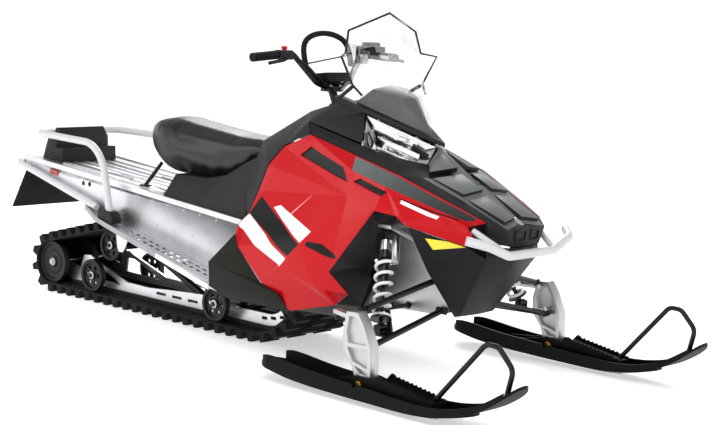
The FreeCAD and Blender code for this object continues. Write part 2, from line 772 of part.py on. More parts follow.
def torque_arms():
    """The two arms that link the slide rails to the tunnel, with their cross shafts."""
    shaft_reach = half_tunnel - wall - size("running_gap")
    rail_gap = size("rail_spacing") / 2 - size("rail_thickness") / 2 - size("running_gap")
    pivot_reach = half_tunnel - 20
    rear = [rod((PIVOT[0], -pivot_reach, PIVOT[1]), (PIVOT[0], pivot_reach, PIVOT[1]), 14),
            rod((-419, -rail_gap, 112), (-419, rail_gap, 112), 13)]
    for side in (-1, 1):
        rear.append(rod((PIVOT[0], side * 78, PIVOT[1]), (-419, side * 78, 112), 15))
        rear.append(rod((PIVOT[0], side * 100, PIVOT[1]), (CARRIER[0], side * 100, CARRIER[1]), 10))
    rear.append(rod((-640, -78, 204), (-640, 78, 204), 11))
    front = [rod((-60, -shaft_reach, 300), (-60, shaft_reach, 300), 14),
             rod((-190, -rail_gap, 92), (-190, rail_gap, 92), 12)]
    for side in (-1, 1):
        front.append(rod((-60, side * 78, 300), (-190, side * 78, 92), 15))
    rear_arm = fused(rear).cut(rod((CARRIER[0], -200, CARRIER[1]), (CARRIER[0], 200, CARRIER[1]),
                                   10 + size("running_gap")))
    keep("torque_arms", Part.makeCompound([rear_arm, fused(front)]))


def drop_brackets():
    """Plates that hang the rear pivot below the tunnel."""
    gap = size("running_gap")
    plates = []
    for side in (-1, 1):
        top_front, top_rear = board(-735) - 20, board(-850) - 20
        outline = [(-850, top_rear + 60), (-735, top_front + 60), (-735, top_front),
                   (PIVOT[0] + 24, PIVOT[1] - 6), (PIVOT[0] + 12, PIVOT[1] - 22),
                   (PIVOT[0] - 12, PIVOT[1] - 22), (PIVOT[0] - 24, PIVOT[1] - 6)]
        y_low, y_high = sorted((side * (half_tunnel - wall - gap), side * (half_tunnel - wall - 5)))
        plate = prism(outline, y_low, y_high)
        boss = rod((PIVOT[0], side * (half_tunnel - 19), PIVOT[1]),
                   (PIVOT[0], side * (half_tunnel - wall - 4), PIVOT[1]), 20)
        plates.append(fused([plate, boss]))
    keep("drop_brackets", Part.makeCompound(plates))


def rear_shock():
    """The track shock absorber between the rear arm and the front cross shaft."""
    gap = size("running_gap")
    upper, lower = Vector(-640, 0, 204), Vector(-190, 0, 92)
    along = (lower - upper).normalize()
    start = upper + along * (11 + 10 + gap)
    end = lower - along * (12 + 10 + gap)
    pieces = [Part.makeCylinder(20, 190, start + along * 4, along),
              Part.makeCylinder(6.5, (end - start).Length, start, along)]
    for place in (start, end):
        pieces.append(Part.makeCylinder(10, 30, place - Vector(0, 15, 0), Vector(0, 1, 0)))
    keep("rear_shock", fused(pieces))


def drive_axle():
    """The driven shaft with its two toothed sprockets."""
    x, z = size("sprocket_forward"), size("sprocket_height")
    reach = half_tunnel - wall - size("running_gap")
    pieces = [rod((x, -reach, z), (x, reach, z), 16)]
    teeth = 9
    for middle in (-70, 70):
        outline = []
        for step in range(teeth * 4):
            angle = 2 * math.pi * step / (teeth * 4)
            radius = size("sprocket_radius") - (2 if step % 4 in (0, 1) else 14)
            outline.append((x + radius * math.cos(angle), z + radius * math.sin(angle)))
        pieces.append(prism(outline, middle - 16, middle + 16))
    keep("drive_axle", fused(pieces))


# Moulded body

spread = size("body_width") / 790
gap = size("panel_gap")

SIDE = {
    "tip": (1094, -156, 611), "notch": (1042, -192, 590), "chin_top": (1076, -204, 560),
    "chin": (1056, -216, 529), "band_rear": (578, -290, 745), "band_mid": (760, -310, 706),
    "band_low": (950, -248, 644), "band_end": (1055, -200, 608),
    "arch_front": (863, -310, 582), "arch_bend": (820, -322, 613), "arch_top": (740, -345, 622),
    "arch_rear": (582, -395, 387), "lobe": (680, -395, 319), "lobe_low": (616, -390, 270),
    "foot": (383, -380, 210), "rear_low": (238, -395, 299), "rear_mid": (111, -395, 413),
    "rear_corner": (75, -375, 460), "knee_low": (60, -350, 486), "knee": (87, -320, 533),
    "knee_mid": (100, -285, 618), "knee_high": (122, -260, 716), "shoulder": (163, -222, 788),
    "top_rear": (314, -238, 848), "top_mid": (760, -236, 743), "crease_top": (600, -332, 655),
    "crease_mid": (480, -387, 519), "crease_low": (432, -405, 463), "belly_rear": (341, -410, 368),
    "belly_front": (530, -410, 322),
}


def side_points():
    return {name: (x, y * spread, z) for name, (x, y, z) in SIDE.items()}


SIDE_FACES = [
    ("top_rear", "band_rear", "top_mid"), ("band_rear", "band_mid", "top_mid"),
    ("top_rear", "crease_top", "band_rear"), ("crease_top", "band_mid", "band_rear"),
    ("crease_top", "arch_top", "band_mid"), ("band_mid", "arch_top", "arch_bend"),
    ("band_mid", "arch_bend", "arch_front"), ("band_mid", "arch_front", "band_low"),
    ("top_mid", "band_mid", "band_low"), ("top_mid", "band_low", "tip"),
    ("band_low", "band_end", "tip"), ("band_end", "notch", "tip"),
    ("band_low", "arch_front", "notch"), ("band_low", "notch", "band_end"),
    ("arch_front", "chin", "notch"), ("chin", "chin_top", "notch"),
    ("top_rear", "shoulder", "crease_top"),
    ("shoulder", "knee_high", "crease_top"), ("knee_high", "knee_mid", "crease_top"),
    ("knee_mid", "crease_mid", "crease_top"), ("knee_mid", "knee", "crease_mid"),
    ("knee", "rear_mid", "crease_mid"), ("knee", "rear_corner", "rear_mid"),
    ("knee", "knee_low", "rear_corner"), ("rear_mid", "crease_low", "crease_mid"),
    ("rear_mid", "rear_low", "crease_low"), ("rear_low", "belly_rear", "crease_low"),
    ("rear_low", "foot", "belly_rear"), ("belly_rear", "foot", "lobe_low"),
    ("belly_rear", "lobe_low", "belly_front"), ("belly_rear", "belly_front", "crease_low"),
    ("crease_low", "belly_front", "arch_rear"), ("belly_front", "lobe", "arch_rear"),
    ("belly_front", "lobe_low", "lobe"), ("crease_low", "arch_rear", "crease_mid"),
    ("crease_mid", "arch_rear", "crease_top"), ("crease_top", "arch_rear", "arch_top"),
]

VENTS = [[(273, 768), (330, 806), (530, 752), (577, 703)],
         [(600, 708), (630, 722), (770, 690), (752, 672)]]


# How far each vent's screen lies behind the panel's face, and how much larger than the vent it is.
SCREEN_INSETS = (5.3, 6.1)
SCREEN_LONGER = 1.08
SCREEN_HIGHER = 1.22
SCREEN_SHEET = 3


def side_panels():
    """The red outer panels, each one moulding with two vents cut through it."""
    panel = thick_panel(side_points(), SIDE_FACES, size("panel_wall"))
    for vent in VENTS:
        panel = panel.cut(prism(vent, -450, -150))
    keep("side_panel_right", panel)
    keep("side_panel_left", mirrored(panel))


def vent_screens():
    """Dark screens a little behind the vents of the side panels."""
    screens = []
    for vent, inset in zip(VENTS, SCREEN_INSETS):
        centre_x = sum(x for x, z in vent) / len(vent)
        centre_z = sum(z for x, z in vent) / len(vent)
        points = {}
        for number, (vent_x, vent_z) in enumerate(vent):
            x = centre_x + (vent_x - centre_x) * SCREEN_LONGER
            z = centre_z + (vent_z - centre_z) * SCREEN_HIGHER
            points[str(number)] = (x, surface_y(x, z) + inset, z)
        screens.append(thick_panel(points, [("0", "3", "2"), ("0", "2", "1")], SCREEN_SHEET))
    keep("vent_screens", Part.makeCompound(screens + [mirrored(item) for item in screens]))


def surface_y(x, z):
    """Y of the right side panel's outer face at a point of its side view."""
    points = side_points()
    for a, b, c in SIDE_FACES:
        (xa, ya, za), (xb, yb, zb), (xc, yc, zc) = points[a], points[b], points[c]
        area = (xb - xa) * (zc - za) - (xc - xa) * (zb - za)
        if abs(area) < 1e-6:
            continue
        u = ((x - xa) * (zc - za) - (xc - xa) * (z - za)) / area
        v = ((xb - xa) * (z - za) - (x - xa) * (zb - za)) / area
        if u >= -0.01 and v >= -0.01 and u + v <= 1.01:
            return ya + u * (yb - ya) + v * (yc - ya)
    return -240 * spread


def footwells():
    """Black lower panels with a toe wall, floor and ceiling round the rider's foot."""
    side = side_points()
    low = {name: (x - 2, y + 1.5, z - 3) for name, (x, y, z) in side.items()}
    points = {
        "corner": low["rear_corner"], "mid": low["rear_mid"], "rear": low["rear_low"],
        "foot": (377, -376 * spread, 205), "heel": (-49, -395 * spread, 332),
        "heel_low": (-40, -395 * spread, 240), "sole": (28, -385 * spread, 209),
        "bulge": (342, -405 * spread, 268), "sole_front": (325, -378 * spread, 204),
    }
    faces = [("corner", "heel", "mid"), ("heel", "rear", "mid"), ("heel", "bulge", "rear"),
             ("rear", "bulge", "foot"), ("heel", "heel_low", "bulge"),
             ("heel_low", "sole", "bulge"), ("sole", "sole_front", "bulge"),
             ("bulge", "sole_front", "foot")]
    wall_piece = thick_panel(points, faces, size("panel_wall"))
    inner = -half_tunnel - size("running_gap")
    reach = -379 * spread
    floor = prism([(30, 203), (225, 203), (225, 207), (30, 207)], reach, inner)
    toe = prism([(215, 205), (255, 300), (200, 440), (196, 440), (250, 300), (211, 205)],
                reach, inner)
    keep_side = fused([wall_piece, floor.common(block(30, 300, -378 * spread, inner, 190, 300)), toe])
    keep("footwell_right", keep_side)
    keep("footwell_left", mirrored(keep_side))


def hood():
    """The black hood between the side panels, out to the nose."""
    side = side_points()
    points = {
        "band_rear": (270, -198 * spread, 886), "band_a": (545, -203 * spread, 827),
        "band_b": (815, -176 * spread, 738.4), "band_c": (986, -140 * spread, 667.7),
        "band_d": (1152, -107 * spread, 589), "nose": (1164, 0, 588),
        "nose_side_low": (1146, -84, 528), "nose_low": (1156, 0, 526),
        "jaw": (1076, -130 * spread, 538), "lamp_low": (655, -163 * spread, 797),
        "lamp_front": (750, -72, 774), "ridge_a": (742, 0, 836), "ridge_b": (931, 0, 718),
        "ridge_c": (1121, 0, 603),
    }
    for name, source in (("edge_rear", "top_rear"), ("edge_mid", "top_mid"), ("edge_tip", "tip")):
        x, y, z = side[source]
        points[name] = (x, y + size("panel_wall") + gap, z + gap / 2)
    faces = [("edge_rear", "edge_mid", "band_a"), ("edge_rear", "band_a", "band_rear"),
             ("edge_mid", "band_b", "band_a"), ("edge_mid", "band_c", "band_b"),
             ("edge_mid", "edge_tip", "band_c"), ("edge_tip", "band_d", "band_c"),
             ("edge_tip", "jaw", "band_d"), ("jaw", "nose_side_low", "band_d"),
             ("nose_side_low", "nose_low", "nose"), ("nose_side_low", "nose", "band_d"),
             ("band_a", "band_b", "lamp_low"), ("lamp_low", "band_b", "lamp_front"),
             ("lamp_front", "band_b", "ridge_b"), ("lamp_front", "ridge_b", "ridge_a"),
             ("band_b", "band_c", "ridge_b"), ("ridge_b", "band_c", "ridge_c"),
             ("band_c", "band_d", "ridge_c"), ("ridge_c", "band_d", "nose")]
    full, whole = with_mirror(points, faces)
    shell = thick_panel(full, whole, size("panel_wall"))
    slats = hood_slats(points)
    keep("hood", fused([shell] + slats + [mirrored(item) for item in slats]))
    return points


def between(a, b, share):
    return tuple(u + (v - u) * share for u, v in zip(a, b))


# The louvres' rear and front corners: two named points and the share of the way between them.
SLATS = [
    (("ridge_a", "ridge_b", 0.12), ("lamp_front", "band_b", 0.25),
     ("ridge_a", "ridge_b", 0.60), ("lamp_front", "band_b", 0.85)),
    (("ridge_a", "ridge_b", 0.72), ("band_b", "band_c", 0.10),
     ("ridge_b", "ridge_c", 0.18), ("band_b", "band_c", 0.84)),
    (("ridge_b", "ridge_c", 0.30), ("band_b", "band_c", 0.98),
     ("ridge_b", "ridge_c", 0.90), ("band_c", "band_d", 0.86)),
]
SLAT_NEAR = 0.16
SLAT_FAR = 0.86
SLAT_SUNK = 7
SLAT_REAR_RISE = 4
SLAT_FRONT_RISE = 14


def hood_slats(points):
    """Raised louvres in a row on the right of the hood's ridge, each rising towards its front."""
    slats = []
    for slat in SLATS:
        places = [between(points[a], points[b], share) for a, b, share in slat]
        rear_in, rear_out, front_in, front_out = places
        corners = []
        for inside, outside in ((rear_in, rear_out), (front_in, front_out)):
            corners.append([Vector(*between(inside, outside, SLAT_NEAR)),
                            Vector(*between(inside, outside, SLAT_FAR))])
        rear, front = corners
        normal = (front[0] - rear[0]).cross(rear[1] - rear[0]).normalize()
        if normal.z < 0:
            normal = normal * -1
        low = [corner - normal * SLAT_SUNK for corner in (rear[0], front[0], front[1], rear[1])]
        high = [rear[0] + normal * SLAT_REAR_RISE, front[0] + normal * SLAT_FRONT_RISE,
                front[1] + normal * SLAT_FRONT_RISE, rear[1] + normal * SLAT_REAR_RISE]
        slats.append(hexahedron([tuple(p) for p in low], [tuple(p) for p in high]))
    return slats


POST_TOP = (183, 0, 1012)


def post_point(down):
    """A point on the steering axis, a distance down from the handlebar clamp."""
    lean = math.radians(size("post_lean"))
    return (POST_TOP[0] + down * math.sin(lean), 0, POST_TOP[2] - down * math.cos(lean))


def console():
    """The moulding between the seat and the screen, with the steering post's bush."""
    side = side_points()

    def inside(name, x=0.0, y=0.0, z=0.0):
        place = side[name]
        return (place[0] + x, place[1] + y, place[2] + z)

    points = {
        "seat_mid": (-44, 0, 796), "seat_side": (-44, -128, 790), "seat_low": (-52, -156, 724),
        "knee_rear": (-62, -200, 612), "deck_rear": (-36.5, -209, deck(-36) + 7.3),
        "edge_low": inside("knee_low", -4, 2, 0), "edge_knee": inside("knee", -6, 0, 0),
        "edge_mid": inside("knee_mid", -6, 0, 0), "edge_high": inside("knee_high", -6, 0, 3),
        "edge_shoulder": inside("shoulder", -5, 2, 5), "edge_rear": inside("top_rear", -9, 2, 7),
        "band": (261, -193 * spread, 892), "top_side": (180, -100, 922), "top": (168, 0, 926),
        "brow_rear": (400, -170, 976), "brow_mid": (400, 0, 984), "lamp_top": (482, -129, 943),
        "lamp_rear": (535, -197 * spread, 836), "brow_front": (738, 0, 842),
    }
    faces = [("seat_mid", "seat_side", "top_side"), ("seat_mid", "top_side", "top"),
             ("seat_side", "edge_shoulder", "top_side"), ("seat_side", "seat_low", "edge_high"),
             ("seat_side", "edge_high", "edge_shoulder"), ("seat_low", "knee_rear", "edge_mid"),
             ("seat_low", "edge_mid", "edge_high"), ("knee_rear", "deck_rear", "edge_knee"),
             ("knee_rear", "edge_knee", "edge_mid"), ("deck_rear", "edge_low", "edge_knee"),
             ("edge_shoulder", "edge_rear", "band"), ("edge_shoulder", "band", "top_side"),
             ("top_side", "band", "brow_rear"), ("top_side", "brow_rear", "brow_mid"),
             ("top_side", "brow_mid", "top"), ("band", "lamp_rear", "lamp_top"),
             ("band", "lamp_top", "brow_rear"), ("brow_rear", "lamp_top", "brow_mid"),
             ("lamp_top", "brow_front", "brow_mid")]
    full, whole = with_mirror(points, faces)
    shell = thick_panel(full, whole, size("panel_wall"))
    bush = rod(post_point(66), post_point(120), size("post_radius") + 12)
    bore = rod(post_point(30), post_point(160), size("post_radius") + size("running_gap"))
    keep("console", fused([shell, bush]).cut(bore))
    return points


def brow():
    """The bar that frames the top of the headlights and carries the screen."""
    bar = None
    for side in (-1, 1):
        drop = 4.3
        rear = [(384, side * 190, 985 - drop), (384, side * 162, 991 - drop),
                (384, side * 162, 1006 - drop), (384, side * 190, 1000 - drop)]
        front = [(764, 0, 838 - drop), (738, 0, 848 - drop), (738, 0, 864 - drop),
                 (764, 0, 854 - drop)]
        piece = hexahedron(rear, front)
        piece = piece.fuse(rod((396, side * 176, 992), (470, side * 191.5, 1036), 7))
        bar = piece if bar is None else bar.fuse(piece)
    keep("brow", bar.removeSplitter())


def headlights(console_points, hood_points):
    """A lens in each opening of the console, with a bright reflector behind it."""
    ring = ["a", "b", "c", "d", "e"]
    corners = {
        "a": console_points["lamp_top"], "b": console_points["lamp_rear"],
        "c": hood_points["lamp_low"], "d": hood_points["lamp_front"], "e": (738, 0, 838),
    }
    centre = tuple(sum(corners[name][axis] for name in ring) / 5 for axis in range(3))
    lens = {}
    mirror = {}
    for name in ring:
        spot = between(centre, corners[name], 0.99)
        lens[name] = (spot[0] - 2, min(spot[1] + 3, -4), spot[2] - 4)
        deep = between(centre, corners[name], 0.95)
        mirror[name] = (deep[0] - 4.0, min(deep[1] + 5.0, -8.0), deep[2] - 6.7)
    lens["m"] = (centre[0] + 8, centre[1] - 12, centre[2] + 4)
    mirror["m"] = (centre[0] - 60, centre[1] + 50, centre[2] - 50)
    fan = [("m", first, second) for first, second in zip(ring, ring[1:] + ring[:1])]
    glass = thick_panel(lens, fan, 3)
    bowl = thick_panel(mirror, fan, 3)
    keep("headlight_lenses", both(glass))
    keep("headlight_reflectors", both(bowl))


def gauge_cowl():
    """The dark dome over the gauges, behind the windshield."""
    points = {
        "side": (440, -135.4, 978), "arch": (486, -96, 1028), "crown": (490, 0, 1044),
        "flank": (600, -62.2, 911), "cheek": (585, -50, 1000), "face": (606, 0, 1004),
        "tip": (694, 0, 888), "tip_low": (735.5, 0, 858),
    }
    faces = [("side", "flank", "arch"), ("arch", "flank", "cheek"), ("arch", "cheek", "crown"),
             ("crown", "cheek", "face"), ("flank", "tip", "cheek"), ("cheek", "tip", "face"),
             ("flank", "tip_low", "tip")]
    full, whole = with_mirror(points, faces)
    keep("gauge_cowl", thick_panel(full, whole, 3))


def windshield():
    """A clear folded screen with a flared wing at each side."""
    points = {
        "base": (696.2, 0, 887.3), "clip": (508, -178, 1006), "side": (475, -197, 1043),
        "wing": (480, -270, 1148), "notch": (445, -211, 1159), "corner": (433, -189, 1241),
        "top": (463, 0, 1312), "fold_low": (596, -112, 958), "fold_high": (452, -108, 1282),
    }
    faces = [("base", "fold_high", "fold_low"), ("base", "top", "fold_high"),
             ("fold_low", "side", "clip"), ("fold_low", "fold_high", "side"),
             ("side", "fold_high", "notch"), ("notch", "fold_high", "corner"),
             ("side", "notch", "wing")]
    faces = [tuple(reversed(face)) for face in faces]
    full, whole = with_mirror(points, faces)
    keep("windshield", thick_panel(full, whole, size("screen_wall")))


def belly_pan():
    """The dark grey pan under the nose."""
    points = {
        "arch": (866, -304 * spread, 575), "chin": (1054, -202 * spread, 521),
        "cheek": (1101, -151 * spread, 480), "front": (1118, 0, 478),
        "arch_mid": (906, -235 * spread, 420), "keel_rear": (934, -104, 247),
        "keel": (952, -98, 251), "keel_mid": (962, 0, 251), "keel_rear_mid": (930, 0, 247),
        "lip_side": (1076, -134 * spread, 531), "lip": (1140, -80, 522), "lip_mid": (1146, 0, 520),
    }
    faces = [("arch", "arch_mid", "chin"), ("arch_mid", "cheek", "chin"),
             ("arch_mid", "keel", "cheek"), ("arch_mid", "keel_rear", "keel"),
             ("cheek", "keel", "keel_mid"), ("cheek", "keel_mid", "front"),
             ("keel_rear", "keel_rear_mid", "keel_mid"), ("keel_rear", "keel_mid", "keel"),
             ("cheek", "front", "lip_mid"), ("cheek", "lip_mid", "lip"),
             ("cheek", "lip", "lip_side")]
    full, whole = with_mirror(points, faces)
    keep("belly_pan", thick_panel(full, whole, size("panel_wall")))


def belly_tub():
    """Black walls of the engine bay and the pan under the engine."""
    points = {
        "arch": (736, -340.2 * spread, 617.3), "rear": (577, -388.5 * spread, 385),
        "low": (611, -383 * spread, 275), "foot": (384, -373 * spread, 215),
        "arch_in": (686, -134, 606), "mid_in": (556, -134, 384), "low_in": (552, -134, 218),
        "skid": (488, -245, 192), "skid_rear": (395, -150, 170), "skid_mid": (395, 0, 170),
        "low_mid": (552, 0, 218),
    }
    faces = [("arch", "rear", "mid_in"), ("arch", "mid_in", "arch_in"),
             ("rear", "low", "low_in"), ("rear", "low_in", "mid_in"),
             ("foot", "skid", "low"), ("skid", "low_in", "low"),
             ("foot", "skid_rear", "skid"), ("skid_rear", "low_in", "skid"),
             ("skid_rear", "skid_mid", "low_mid"), ("skid_rear", "low_mid", "low_in")]
    full, whole = with_mirror(points, faces)
    keep("belly_tub", thick_panel(full, whole, size("panel_wall")))


def bulkhead():
    """Two aluminium plates joined by cross members; it carries the front arms."""
    half = size("bulkhead_width") / 2
    plate_wall = size("bulkhead_wall")
    rear_face = TUNNEL_FRONT + ENGINE_LENGTH + 2 * size("running_gap")
    outline = [(rear_face, 232), (rear_face, 420), (640, 440), (705, 590), (880, 575), (916, 430),
               (926.6, 300), (926.6, 264), (880, 250)]
    slot = rod((TIE_ROD_X, -half - 10, size("tie_rod_height")),
               (TIE_ROD_X, half + 10, size("tie_rod_height")),
               size("tie_rod_radius") + size("clearance"))
    plates = []
    for side in (-1, 1):
        y_low, y_high = sorted((side * half, side * (half - plate_wall)))
        plates.append(prism(outline, y_low, y_high).cut(slot))
    rear = block(rear_face, rear_face + 6, -half, half, 232, 420)
    floor = prism([(rear_face, 232), (880, 250), (914, 260), (914, 266), (878, 256),
                   (rear_face, 238)], -half, half)
    top = block(720, 860, -half, half, 566, 572)
    towers = []
    for side in (-1, 1):
        y_low, y_high = sorted((side * (half - 2), side * 280))
        tower = prism([(708, 555.3), (768, 555.3), (768, 567), (708, 567)], y_low, y_high)
        brace = rod((758, side * half, 500), (758, side * 262, 558), 7)
        towers += [tower, brace]
    keep("bulkhead", fused(plates + [rear, floor, top] + towers))


ENGINE_LENGTH = 180


def engine():
    """The engine as one plain block at its real size and place."""
    item = bound("Part::Box", "engine", Length=str(ENGINE_LENGTH), Width="380", Height="300")
    item.Placement = Placement(Vector(TUNNEL_FRONT + size("running_gap"), -190, 300), Rotation())
    nodes.append(item)


def front_bumper():
    """A bent tube round the nose with a stay that runs back on each side."""
    radius = size("front_bumper_radius")
    route = [(1114, -288, 561), (1172, -232, 543), (1180, -128, 504), (1180, 128, 504),
             (1172, 232, 543), (1114, 288, 561)]
    pieces = [tube(route, radius, [40, 70, 70, 40])]
    for side in (-1, 1):
        pieces.append(rod((1178, side * 132, 508), (1054, side * 178, 580), 11))
        pieces.append(rod((1180, side * 80, 502), (1131.6, side * 76, 502), 8))
    keep("front_bumper", fused(pieces))


# Front suspension

kingpin_lean = math.radians(size("kingpin_tilt"))
kingpin_y = size("ski_stance") / 2 - size("kingpin_offset")
TIE_ROD_X = 737
JOINT_RADIUS = 15


def on_kingpin(height, reach=0.0):
    """A point of the right kingpin at a height above the snow, set back by reach."""
    rise = height - size("kingpin_height")
    x = size("kingpin_forward") - rise * math.tan(kingpin_lean)
    return (x - reach, -kingpin_y, height)


kingpin_axis = Vector(-math.sin(kingpin_lean), 0, math.cos(kingpin_lean))
LOWER_JOINT = size("kingpin_height")
UPPER_JOINT = LOWER_JOINT + 114


def joint_eye(height):
    """The socket at an arm's outer end, round the kingpin."""
    centre = Vector(*on_kingpin(height))
    return Part.makeCylinder(JOINT_RADIUS, 20, centre - kingpin_axis * 10, kingpin_axis)


def a_arms():
    """Upper and lower arms of both sides, each welded from tubes."""
    radius = size("arm_tube_radius")
    tube_radius = radius - 2
    face = -size("bulkhead_width") / 2 - size("running_gap") - radius
    foot = SHOCK_FOOT

    def leg(start, end, eye):
        """A tube with a pivot barrel at its inner end."""
        barrel = rod((start[0] - 19, start[1], start[2]), (start[0] + 19, start[1], start[2]), eye)
        return rod(start, end, tube_radius).fuse(barrel)

    def to_joint(start, joint):
        """A leg whose tube stops short of the kingpin and goes on as a thin neck."""
        run = (Vector(*joint) - Vector(*start)).Length
        stop = between(joint, start, NECK_LENGTH / run)
        inner_end = between(joint, start, (NECK_LENGTH + 6) / run)
        return leg(start, stop, radius).fuse(rod(inner_end, joint, NECK_RADIUS))

    low_end = on_kingpin(LOWER_JOINT)
    front_in = (905, face, 270)
    rear_in = (644, face, 252)
    knee = between(front_in, low_end, 0.74)
    lower_arm = to_joint(front_in, low_end).fuse(leg(rear_in, knee, radius))
    lower_arm = lower_arm.fuse(block(foot.x - 24, 906, foot.y - 22, foot.y + 22, 204, 210))
    for way in (-1, 1):
        near = SHOCK_EYE_HALF + size("running_gap")
        y_low, y_high = sorted((foot.y + way * near, foot.y + way * (near + 6)))
        lower_arm = lower_arm.fuse(block(foot.x - 15, foot.x + 15, y_low, y_high, 206, foot.z + 9))
    hole = rod((foot.x, foot.y - 30, foot.z), (foot.x, foot.y + 30, foot.z),
               6 + size("running_gap"))
    lower_arm = lower_arm.fuse(joint_eye(LOWER_JOINT)).cut(hole)
    high_end = on_kingpin(UPPER_JOINT)
    upper_arm = to_joint((898, face, 388), high_end).fuse(to_joint((590, face, 352), high_end))
    upper_arm = upper_arm.fuse(joint_eye(UPPER_JOINT))
    keep("a_arms", Part.makeCompound([lower_arm, mirrored(lower_arm), upper_arm,
                                      mirrored(upper_arm)]))


NECK_LENGTH = 20
NECK_RADIUS = 7
SHOCK_EYE_HALF = 14
SHOCK_TOP = Vector(728, -258, 540)
SHOCK_FOOT = Vector(850, -404, 232)


def front_shocks():
    """Shock absorbers with spring seats, from the bulkhead towers to the lower arms."""
    run = (SHOCK_FOOT - SHOCK_TOP)
    along = Vector(run).normalize()
    length = run.Length
    body = Part.makeCylinder(size("shock_radius"), length * 0.44,
                             SHOCK_TOP + along * (length * 0.14), along)
    stem = Part.makeCylinder(8, length, SHOCK_TOP, along)
    cap = Part.makeCylinder(27, 10, SHOCK_TOP + along * (length * 0.27), along)
    seat_ring = Part.makeCylinder(38, 7, SHOCK_FOOT - along * 34, along)
    eye_top = Part.makeCylinder(15, 24, SHOCK_TOP + Vector(0, -12, 0), Vector(0, 1, 0))
    eye_foot = Part.makeCylinder(14, 2 * SHOCK_EYE_HALF, SHOCK_FOOT + Vector(0, -SHOCK_EYE_HALF, 0),
                                 Vector(0, 1, 0))
    bolt_half = SHOCK_EYE_HALF + 8
    bolt = Part.makeCylinder(6, 2 * bolt_half, SHOCK_FOOT + Vector(0, -bolt_half, 0), Vector(0, 1, 0))
    keep("front_shocks", both(fused([body, stem, cap, seat_ring, eye_top, eye_foot, bolt])))


def front_springs():
    """The coil springs' outlines round the shock absorbers."""
    run = (SHOCK_FOOT - SHOCK_TOP)
    along = Vector(run).normalize()
    start = SHOCK_TOP + along * (run.Length * 0.27 + 10 + size("running_gap"))
    end = SHOCK_FOOT - along * (34 + size("running_gap"))
    rise = (end - start).Length
    turns = int(size("spring_turns"))
    crest = size("spring_radius") + size("spring_wire_radius")
    outline = [Vector(size("spring_radius") - 5, 0, 0)]
    for turn in range(turns):
        outline.append(Vector(crest - 6, 0, rise * turn / turns))
        outline.append(Vector(crest, 0, rise * (turn + 0.5) / turns))
    outline += [Vector(crest - 6, 0, rise), Vector(size("spring_radius") - 5, 0, rise)]
    face = Part.Face(Part.makePolygon(outline + outline[:1]))
    coil = face.revolve(Vector(0, 0, 0), Vector(0, 0, 1), 360)
    coil.Placement = Placement(start, Rotation(Vector(0, 0, 1), along))
    keep("front_springs", both(coil))


def spindle():
    """A cast leg with pockets, bosses on the kingpin and a steering arm."""
    stance = size("ski_stance") / 2
    half = size("spindle_thickness") / 2
    bolt = (size("ski_bolt_forward"), size("ski_bolt_height"))
    foot = []
    for step in range(7):
        angle = math.radians(-5 - 175 * step / 6)
        foot.append((bolt[0] + 30 * math.cos(angle), bolt[1] + 30 * math.sin(angle)))
    outline = foot + [(862, 130), (822, 178), (820, 236), (833, 303), (884, 306), (912, 268),
                      (946, 196), (952, 120)]
    leg = prism(outline, -stance - half, -stance + half)
    pockets = [[(846, 196), (928, 200), (896, 268), (874, 290), (846, 290), (836, 236)],
               [(868, 138), (936, 120), (934, 186), (842, 182)],
               [(902, 100), (938, 98), (938, 108), (876, 124)]]
    depth = half - size("spindle_web") / 2
    for pocket in pockets:
        leg = leg.cut(prism(pocket, -stance - half, -stance - half + depth))
        leg = leg.cut(prism(pocket, -stance + half - depth, -stance + half))
    leg = leg.cut(rod((bolt[0], -stance - 60, bolt[1]), (bolt[0], -stance + 60, bolt[1]),
                      size("ski_bolt_radius") + size("running_gap")))
    bosses = []
    for height, way in ((LOWER_JOINT, 1), (UPPER_JOINT, -1)):
        centre = Vector(*on_kingpin(height))
        start = centre + kingpin_axis * (way * (10 + size("running_gap")))
        boss = Part.makeCylinder(13, 16, start, kingpin_axis * way)
        middle = start + kingpin_axis * (way * 8)
        arm = block(middle.x - 8, middle.x + 8, -stance, middle.y, middle.z - 4, middle.z + 4)
        bosses += [boss, arm]
    arm_low = size("tie_rod_height") + 11 + 2 * size("running_gap")
    plan = [(TIE_ROD_X - 12, -kingpin_y + 11), (TIE_ROD_X + 14, -kingpin_y + 11),
            (842, -stance + half), (842, -stance - 4), (800, -stance + 2),
            (TIE_ROD_X - 12, -kingpin_y - 13)]
    corners = [Vector(x, y, arm_low) for x, y in plan]
    steering_arm = Part.Face(Part.makePolygon(corners + corners[:1])).extrude(Vector(0, 0, 15))
    return fused([leg, steering_arm] + bosses)


def spindles():
    right = spindle()
    keep("spindle_right", right)
    keep("spindle_left", mirrored(right))


def tie_rods():
    """The steering link across the machine, with a socket at each end."""
    height = size("tie_rod_height")
    link = rod((TIE_ROD_X, -kingpin_y + 8, height), (TIE_ROD_X, kingpin_y - 8, height),
               size("tie_rod_radius"))
    pieces = [link, block(TIE_ROD_X - 12, TIE_ROD_X + 12, -46, 46, height - 11, height + 11)]
    for side in (-1, 1):
        pieces.append(Part.makeCylinder(12, 21, Vector(TIE_ROD_X, side * kingpin_y, height - 10)))
        sleeve = sorted((side * (kingpin_y - 70), side * (kingpin_y - 10)))
        pieces.append(rod((TIE_ROD_X, sleeve[0], height), (TIE_ROD_X, sleeve[1], height), 10))
    keep("tie_rods", fused(pieces))


# Skis

SKI_TIP = 1578


def ski_x(share):
    return SKI_TIP - size("ski_length") * (1 - share)


def smooth(points):
    """An edge through points of the ski's side view."""
    curve = Part.BSplineCurve()
    curve.interpolate([Vector(x, 0, z) for x, z in points])
    return curve.toShape()


